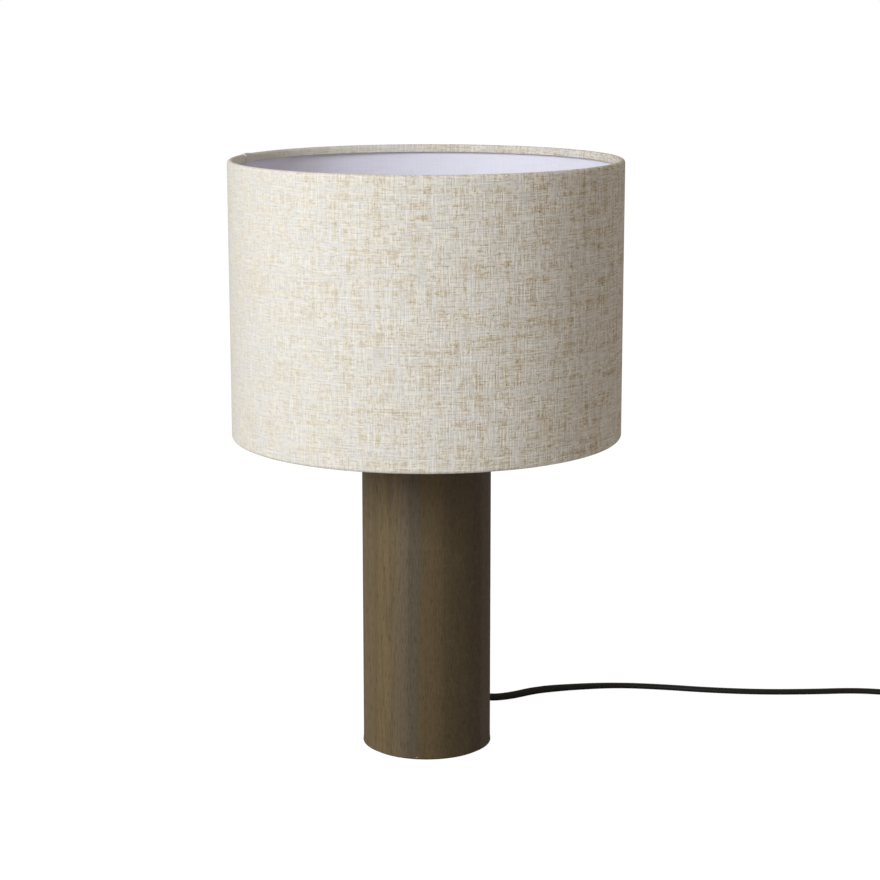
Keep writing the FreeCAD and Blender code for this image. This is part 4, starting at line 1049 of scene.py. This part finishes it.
@dataclass
class MainsCord:
    """The flat cord from the bush to the switch, and on through the coil to the plug."""

    section: FlatSection = FlatSection()
    inner_section: FlatSection = FlatSection(0.0058, 0.0042)
    spacing: float = 0.0015
    inner_spacing: float = 0.003
    solid_radius: float = 0.003
    exit_azimuth: float = math.radians(65.0)
    exit_reach: float = 0.072
    exit_height: float = 0.014
    switch_height: float = 0.0042
    coil_gap: float = 0.030
    coil_low: float = 0.0043
    coil_high: float = 0.0108
    coil_inner_radius: float = 0.0256
    coil_step: float = 0.00325
    coil_half_turns: int = 5
    points_per_half_turn: int = 12
    plug_azimuth: float = math.radians(104.0)

    def __post_init__(self) -> None:
        """Works out the cord's places from the switch and the bush."""
        switch_lo, switch_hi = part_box("switch_lower")
        self.switch_x = (switch_lo.x + switch_hi.x) / 2
        self.switch_near = switch_lo.y
        self.switch_far = switch_hi.y
        self.coil_y = self.switch_near - self.coil_gap
        outward = np.array([math.cos(self.exit_azimuth), math.sin(self.exit_azimuth), 0.0])
        self.exit = outward * self.exit_reach
        self.exit[2] = self.exit_height

    def build(self) -> None:
        """Makes both free cords and the one inside the column."""
        self.lamp_cord()
        self.plug_cord()
        self.inner_cord()

    def lamp_cord(self) -> None:
        """Out of the bush, down to the floor and along it to the switch."""
        x, far, height = self.switch_x, self.switch_far, self.switch_height
        floor_points = [
            (70.0, 104.0), (92.5, 121.0), (124.0, 130.5), (160.0, 136.5), (198.0, 131.5),
            (238.0, 122.0), (281.0, 116.5), (324.0, 117.0), (364.0, 120.5), (396.0, 113.0),
        ]
        route = np.vstack([
            self.exit,
            np.array([(38.2, 82.0, 12.4), (51.0, 91.5, 5.4)]) * MM,
            np.array([(px, py, 3.0) for px, py in floor_points]) * MM,
            [(x, far + 0.024, height), (x, far, height)],
        ])
        line, distance = evenly(spline_points(route), self.spacing)
        total = distance[-1]
        roll = lying(smooth_step(distance, 0.030, 0.165))
        settle = smooth_step(distance, 0.012, 0.050)
        settle = settle * (1 - smooth_step(distance, total - 0.045, total - 0.012))
        line[:, 2] += (self.section.rest_height(roll) - self.solid_radius) * settle
        obj = cord_tube("flat_cord", line, self.section.outline(), roll)
        placed_on(obj, "base", "black_cord", "lamp_cord")

    def coil_points(self) -> np.ndarray:
        """Half turns that spiral in, climb in the smallest one and spiral out on top.

        Each half turn starts where the last one ends, on the other side of its own centre.

        Returns:
            The control points, n by 3.
        """
        steps_out = range(self.coil_half_turns, 0, -1)
        inward = [self.coil_inner_radius + self.coil_step * step for step in steps_out]
        radii = inward + [self.coil_inner_radius] + inward[::-1]
        here, height, side = self.switch_x, self.coil_low, 1.0
        share = (np.arange(self.points_per_half_turn) + 0.5) / self.points_per_half_turn
        half_step = math.pi / self.points_per_half_turn / 2
        points = []
        for number, radius in enumerate(radii):
            climb = self.coil_high - self.coil_low if number == self.coil_half_turns else 0.0
            angle = (math.pi if side > 0 else 0.0) + share * math.pi
            reach = radius / math.cos(half_step)
            points.append(np.stack([
                here + side * radius + reach * np.cos(angle),
                self.coil_y + reach * np.sin(angle),
                height + climb * share,
            ], axis=1))
            here, height, side = here + side * 2 * radius, height + climb, -side
        return np.vstack(points)

    def plug_cord(self) -> None:
        """Out of the switch, through the coil and along the floor to the plug."""
        x, near, coil_y = self.switch_x, self.switch_near, self.coil_y
        end_x = x + 2 * (self.coil_inner_radius + self.coil_step * self.coil_half_turns) + 0.0065
        neck = np.array([end_x - 0.008, coil_y + 0.088, 0.00685])
        way = np.array([math.cos(self.plug_azimuth), math.sin(self.plug_azimuth), 0.0])
        route = np.vstack([
            [
                (x, near, self.switch_height),
                (x, near - 0.010, self.switch_height),
                (x, near - 0.014, self.coil_low),
                (x, near - 0.024, self.coil_low),
            ],
            self.coil_points(),
            [
                (end_x, coil_y + 0.016, 0.0106),
                (end_x, coil_y + 0.036, 0.0036),
                (end_x - 0.0015, coil_y + 0.060, 0.0023),
                neck - way * 0.012 - UP * 0.0015,
                neck,
            ],
        ])
        line, distance = evenly(spline_points(route), self.spacing)
        total = distance[-1]
        edge_on = smooth_step(distance, 0.004, 0.075)
        edge_on = edge_on * (1 - smooth_step(distance, total - 0.085, total - 0.010))
        roll = lying(1 - edge_on)
        obj = cord_tube("plug_cord", line, self.section.outline(), roll)
        placed_on(obj, "base", "black_cord", "switch_link", "cord_coil", "cord_tail")
        tie = CoilTie().build()

    def inner_cord(self) -> None:
        """From the bush up the inside of the column, and through the nipple."""
        out = self.exit / np.linalg.norm(self.exit[:2])
        out = np.array([out[0], out[1], 0.0])
        _, nipple_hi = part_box("threaded_nipple")
        stations = [(0.024, 0.014), (0.0145, 0.048), (0.013, 0.100), (0.006, 0.150), (0.0, 0.200)]
        route = np.vstack([
            self.exit,
            [out * radius + UP * height for radius, height in stations],
            UP * (nipple_hi.z - 0.0015),
        ])
        line, _ = evenly(spline_points(route), self.inner_spacing)
        roll = lying(np.ones(len(line)))
        section = self.inner_section.outline()
        obj = cord_tube("inner_cord_sheath", line, section, roll, across=np.cross(UP, out))
        placed_on(obj, "base", "black_cord", "inner_cord")


@dataclass
class CoilTie:
    """A soft strap round the bundle of turns, its end laid over its start."""

    thickness: float = 0.0008
    corner: float = 0.002
    lap_inset: float = 0.0020
    lap_length: float = 0.0085
    lap_corner: float = 0.0003

    def build(self) -> bpy.types.Object:
        """A rounded box outline with a wall, carried from one x to another, and its lapped end.

        Returns:
            The strap.
        """
        lo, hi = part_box("coil_tie")
        t = self.thickness
        top = hi.z - t
        corners = [(lo.y, lo.z), (hi.y, lo.z), (hi.y, top), (lo.y, top)]
        outer = rounded([(y, z, self.corner) for y, z in corners], True)
        inset = [(y + (t if y == lo.y else -t), z + (t if z == lo.z else -t)) for y, z in corners]
        inner = rounded([(y, z, self.corner - t) for y, z in inset], True)
        near = hi.y - t - self.lap_inset
        far = near - self.lap_length
        lap = rounded([
            (far, top, 0.0), (near, top, 0.0),
            (near, hi.z, self.lap_corner), (far, hi.z, self.lap_corner),
        ], True)
        middle = np.repeat(lap.mean(axis=0)[None], len(lap), axis=0)
        strap_rings = ((outer, lo.x), (outer, hi.x), (inner, hi.x), (inner, lo.x))
        end_rings = ((middle, lo.x), (lap, lo.x), (lap, hi.x), (middle, hi.x))
        strap = np.stack([self.ring(outline, x) for outline, x in strap_rings])
        end = np.stack([self.ring(outline, x) for outline, x in end_rings])
        obj = joined(
            grid_object("coil_strap", strap, wrap_rows=True, wrap_columns=True),
            grid_object("strap_end", end, wrap_columns=True),
        )
        return placed_on(obj, "base", "black_tie", "coil_tie")

    @staticmethod
    def ring(outline: np.ndarray, x: float) -> np.ndarray:
        """The outline as points at one x."""
        return np.column_stack([np.full(len(outline), x), outline])


# Shade


@dataclass
class DrumShade:
    """The linen cover with its rolled hems and lapped seam, and its white lining."""

    cloth: float = 0.0006
    rim_width: float = 0.005
    hem_depth: float = 0.006
    hem_corner: float = 0.0005
    tuck_radius_gap: float = 0.0018
    seam_azimuth: float = math.radians(160.0)
    overlap: float = 0.010
    arm_azimuths: tuple[float, ...] = (math.radians(90.0), math.radians(210.0), math.radians(330.0))
    slit_half_width: float = 0.0025
    slit_edge: float = 0.0012
    pucker: float = 0.00006
    lap_clearance: float = 0.00003
    lining_thickness: float = 0.0004
    lining_overlap: float = 0.008
    lining_seam_turn: float = math.radians(9.0)
    lining_clearance: float = 0.00002
    wave: float = 0.00014
    seed: int = 7

    def __post_init__(self) -> None:
        """Reads the drum's size and draws the waves of its cloth."""
        lo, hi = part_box("shade_cover")
        self.radius = (hi.x - lo.x) / 2
        self.low, self.high = lo.z, hi.z
        random = np.random.default_rng(self.seed)
        self.wave_counts = random.integers(3, 23, 9)
        self.wave_phases = random.uniform(0, math.tau, 9)
        self.wave_rises = random.uniform(4, 30, 9)

    def build(self) -> None:
        """Makes the cover and the lining."""
        self.cover()
        self.lining()

    def waves(self, azimuth: np.ndarray, height: np.ndarray) -> np.ndarray:
        """Slow radial waves of the stretched cloth: a sum of sines in azimuth and height.

        Args:
            azimuth: Where round the drum.
            height: Where up the drum.

        Returns:
            The radial offset there.
        """
        total = np.zeros(np.broadcast(azimuth, height).shape)
        for count, phase, rise in zip(self.wave_counts, self.wave_phases, self.wave_rises):
            wave = np.sin(count * azimuth + phase + rise * (height - self.low))
            total += wave / (1 + 0.15 * count)
        return self.wave * total / 2

    def centreline(self) -> np.ndarray:
        """The cloth's middle, from the top tuck over the rim, down the wall to the bottom tuck.

        Returns:
            Points (radius, height), n by 2.
        """
        half = self.cloth / 2
        outer = self.radius - half
        inner = self.radius - self.rim_width + half
        tuck = self.radius - self.tuck_radius_gap
        fold = self.rim_width / 2 - half
        top, bottom = self.high - half, self.low + half
        line = rounded([
            (tuck, self.high - self.hem_depth, 0.0),
            (inner, self.high - self.hem_depth, self.hem_corner),
            (inner, top, fold),
            (outer, top, fold),
            (outer, bottom, fold),
            (inner, bottom, fold),
            (inner, self.low + self.hem_depth, self.hem_corner),
            (tuck, self.low + self.hem_depth, 0.0),
        ], closed=False)
        return finely(line, 0.008, closed=False)

    def cover(self) -> bpy.types.Object:
        """The cloth: its centreline swept once round and a little further, as a lapped seam.

        The wall is the centreline moved out and in by half the cloth along its normal. Near the end
        of the turn the cloth lifts over its own start. At each arm the bottom hem's lip is drawn
        down to the rim, which leaves a slit, and inside the hems the cloth puckers.

        Returns:
            The cover.
        """
        line = self.centreline()
        tangent = unit(np.gradient(line, axis=0))
        normal = np.stack([-tangent[:, 1], tangent[:, 0]], axis=1)
        wall = np.argmax(line[:, 0])
        normal = normal * np.sign(normal[wall, 0])
        places = [(azimuth - self.seam_azimuth) % math.tau for azimuth in self.arm_azimuths]
        turn = np.unique(np.concatenate([
            dense_angles(300, places, 0.045, 46),
            math.tau - np.array([0.05, 0.035, 0.02]),
            np.linspace(math.tau, math.tau + self.overlap / self.radius, 6),
        ]))
        lift = smooth_step(turn, math.tau - 0.04, math.tau - 0.002)[:, None]
        lift = (self.cloth + self.lap_clearance) * lift
        off_arms = [np.abs((turn - place + math.pi) % math.tau - math.pi) for place in places]
        from_arm = np.min(off_arms, axis=0) * self.radius
        slit_end = self.slit_half_width + self.slit_edge
        notch = 1 - smooth_step(from_arm, self.slit_half_width, slit_end)
        sides = [line + normal * self.cloth / 2, line - normal * self.cloth / 2]
        loop = np.vstack([sides[0], sides[1][::-1]])
        push = np.vstack([normal, normal[::-1]])
        radius = loop[None, :, 0] + push[None, :, 0] * lift
        height = loop[None, :, 1] + push[None, :, 1] * lift
        turned_in = loop[:, 0] < self.radius - self.rim_width / 2
        in_hem = turned_in & (loop[:, 1] < self.low + 2 * self.hem_depth)
        shrink = 1 - 0.80 * notch[:, None] * in_hem[None, :]
        height = self.low + (height - self.low) * shrink
        azimuth = (self.seam_azimuth + turn)[:, None]
        pucker = np.sin(azimuth * 190 + 3 * np.sin(azimuth * 23))
        inside = smooth_step(self.radius - loop[None, :, 0], 0.003, 0.0045)
        radius = radius + self.waves(azimuth, height) + self.pucker * pucker * inside
        points = round_points(radius, azimuth, height)
        along = distances(line)
        down = np.concatenate([along, along[::-1], along[:1]])
        flat = flat_map(azimuth[:, 0] * self.radius, down)
        obj = grid_object(
            "linen_cover", points, flat, wrap_columns=True, smooth_angle=50.0, end_caps=True
        )
        placed_on(obj, "shade", "linen", "shade_cover")
        return obj

    def lining(self) -> bpy.types.Object:
        """The lining just inside the cover: an upright wall that goes round, with a lap of its own.

        Returns:
            The lining.
        """
        lo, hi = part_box("shade_liner")
        outer = (hi.x - lo.x) / 2
        thickness = self.lining_thickness
        height = np.linspace(lo.z, hi.z, 30)
        loop_radius = np.repeat([outer, outer - thickness], len(height))[None]
        loop_height = np.concatenate([height, height[::-1]])[None]
        turn = np.concatenate([
            np.linspace(0, math.tau - 0.03, 300),
            np.linspace(math.tau - 0.02, math.tau + self.lining_overlap / outer, 8),
        ])
        lift = smooth_step(turn, math.tau - 0.02, math.tau - 0.002)[:, None]
        lift = -(thickness + self.lining_clearance) * lift
        azimuth = (self.seam_azimuth + self.lining_seam_turn + turn)[:, None]
        radius = loop_radius + lift + self.waves(azimuth, loop_height)
        points = round_points(radius, azimuth, loop_height)
        down = np.concatenate([height, height[::-1], height[:1]])
        flat = flat_map(azimuth[:, 0] * outer, down)
        obj = grid_object(
            "lining_sheet", points, flat, wrap_columns=True, smooth_angle=50.0, end_caps=True
        )
        placed_on(obj, "shade", "white_lining", "shade_liner")
        return obj


# Column


@dataclass
class WoodColumn:
    """The veneer round the column, butted at one seam, with its small flare at the foot."""

    thickness: float = 0.0006
    seam_low: float = math.radians(261.2)
    seam_high: float = math.radians(264.0)
    edge: float = 0.0002
    flare: float = 0.0004
    flare_height: float = 0.005
    flare_power: float = 1.6
    groove: float = 0.00005
    groove_half_width: float = 0.00035
    chip: float = 0.0009
    chip_share: float = 0.8
    chip_half_width: float = 0.0008

    def build(self) -> bpy.types.Object:
        """The veneer as one closed skin: a rounded wall turned once from seam to seam.

        The seam leans a little as it rises. At the foot the outer side flares by a power of how
        far down it is. Along the seam it sinks by a bell curve, and its foot edge is chipped there.

        Returns:
            The skin.
        """
        lo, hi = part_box("veneer_skin")
        radius = (hi.x - lo.x) / 2 - self.flare
        inner = radius - self.thickness
        edge = self.edge
        outline = finely(rounded([
            (inner, lo.z, 0.0),
            (radius, lo.z, edge),
            (radius, hi.z, edge),
            (inner, hi.z, 0.0),
        ], closed=True), 0.004, closed=True)
        turn = dense_angles(168, [0.0], 0.03, 61)
        outer_side = outline[:, 0] > radius - edge
        height = np.broadcast_to(outline[None, :, 1], (len(turn), len(outline))).copy()
        offset = np.minimum(turn, math.tau - turn) * radius
        drop = np.clip((lo.z + self.flare_height - height) / self.flare_height, 0, 1)
        bulge = self.flare * drop ** self.flare_power
        groove = self.groove * np.exp(-(offset / self.groove_half_width) ** 2)
        reach = outline[None, :, 0] + (bulge - groove[:, None]) * outer_side[None]
        at_foot = outline[None, :, 1] < lo.z + edge * 1.5
        chip = self.chip * np.exp(-(offset[:, None] / self.chip_half_width) ** 4)
        height += chip * at_foot * self.chip_share
        share = (height - lo.z) / (hi.z - lo.z)
        azimuth = self.seam_low + (self.seam_high - self.seam_low) * share + turn[:, None]
        points = round_points(reach, azimuth, height)
        around = np.append(turn, math.tau) * radius
        up = np.append(outline[:, 1], outline[0, 1])
        flat = flat_map(around, up)
        obj = grid_object("veneer_sheet", points, flat, wrap_rows=True, wrap_columns=True)
        return placed_on(obj, "base", "walnut_veneer", "veneer_skin")


# Lampholder and bulb


def thread(low: float, high: float, pitch: float, depth: float, least_radius: float) -> Relief:
    """A right-handed round thread cut into the outside of a turned piece.

    Args:
        low: Where the thread starts.
        high: Where it ends.
        pitch: The rise in one turn.
        depth: Crest to root.
        least_radius: Only points further out are cut.

    Returns:
        The radial offset as a function of azimuth, radius and height.
    """

    def cut(azimuth: np.ndarray, radius: np.ndarray, height: np.ndarray) -> np.ndarray:
        """A cosine along the helix, which fades out over half a pitch at both ends.

        Args:
            azimuth: Where round the piece.
            radius: How far from its axis.
            height: Where up the piece.

        Returns:
            The radial offset.
        """
        wave = 0.5 - 0.5 * np.cos(math.tau * height / pitch - azimuth)
        fade = smooth_step(height, low, low + pitch / 2)
        fade = fade * (1 - smooth_step(height, high - pitch / 2, high))
        return -depth * wave * fade * (radius > least_radius)

    return cut


@dataclass
class Lampholder:
    """The threaded skirt that the shade's rings run on."""

    pitch: float = 0.003
    depth: float = 0.0009
    flange: float = 0.0012
    flange_low: float = 0.0051
    flange_high: float = 0.0065
    spigot_inset: float = 0.0034
    wall: float = 0.0022
    lip_radius: float = 0.0145
    lip_thickness: float = 0.004
    top_corner: float = 0.0009
    corner: float = 0.0003

    def build(self) -> bpy.types.Object:
        """A spigot, a flange and a threaded skirt with a lip, as one outline turned once.

        Returns:
            The skirt.
        """
        lo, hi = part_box("holder_skirt")
        wide = (hi.x - lo.x) / 2
        outer = wide - self.flange
        spigot = outer - self.spigot_inset
        throat = spigot - self.wall
        bore = outer - self.wall
        lip, lip_low = self.lip_radius, hi.z - self.lip_thickness
        under, ledge = lo.z + self.flange_low, lo.z + self.flange_high
        soft = self.corner
        outline = rounded([
            (throat, lo.z, soft), (spigot, lo.z, soft), (spigot, under, 0.0),
            (wide, under, soft), (wide, ledge, soft), (outer, ledge, 0.0),
            (outer, hi.z, self.top_corner), (lip, hi.z, soft), (lip, lip_low, soft),
            (bore, lip_low, 0.0), (bore, ledge, 0.0), (throat, ledge, soft),
        ], closed=True)
        outline = finely(outline, 0.0003, closed=True)
        relief = thread(ledge + 0.0008, hi.z - 0.001, self.pitch, self.depth, bore + 0.0005)
        obj = turned("threaded_skirt", outline, 112, relief)
        return placed_on(obj, "base", "black_plastic", "holder_skirt")


@dataclass
class LampBulb:
    """The screw cap of the bulb."""

    pitch: float = 0.0036
    depth: float = 0.0009
    wall: float = 0.0005
    shoulder: float = 0.002
    shoulder_corners: tuple[float, float] = (0.0006, 0.0008)
    rim_corner: float = 0.0001

    def build(self) -> bpy.types.Object:
        """A thin cup with a sloped shoulder, as one outline turned once, its wall threaded.

        Returns:
            The cap.
        """
        lo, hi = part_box("bulb_cap")
        outer = (hi.x - lo.x) / 2
        wall, shoulder, rim = self.wall, self.shoulder, self.rim_corner
        low_corner, high_corner = self.shoulder_corners
        outline = rounded([
            (0.0, lo.z, 0.0),
            (outer - shoulder, lo.z, low_corner),
            (outer, lo.z + shoulder, high_corner),
            (outer, hi.z, rim),
            (outer - wall, hi.z, rim),
            (outer - wall - self.depth, lo.z + shoulder, 0.0),
            (outer - shoulder - wall, lo.z + wall, 0.0),
            (0.0, lo.z + wall, 0.0),
        ], closed=True)
        outline = finely(outline, 0.0004, closed=True)
        relief = thread(lo.z + shoulder, hi.z - 0.003, self.pitch, self.depth, outer - 0.0003)
        obj = turned("threaded_cap", outline, 96, relief)
        return placed_on(obj, "bulb", "nickel", "bulb_cap")


def dress_cad_nodes() -> None:
    """Gives every CAD node that stays in view its slot's material."""
    slots = {part["node"]: part["material_slot"] for part in frame["record"]["subparts"]}
    for name, obj in frame["nodes"].items():
        LOOKS.give(obj, slots[name], bare=True)


def main() -> None:
    """Builds the lamp round the frame."""
    logging.basicConfig(level=logging.INFO, format="%(message)s")
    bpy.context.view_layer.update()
    Studio().build()
    dress_cad_nodes()
    MainsCord().build()
    DrumShade().build()
    WoodColumn().build()
    Lampholder().build()
    LampBulb().build()


if __name__ == "__main__":
    main()
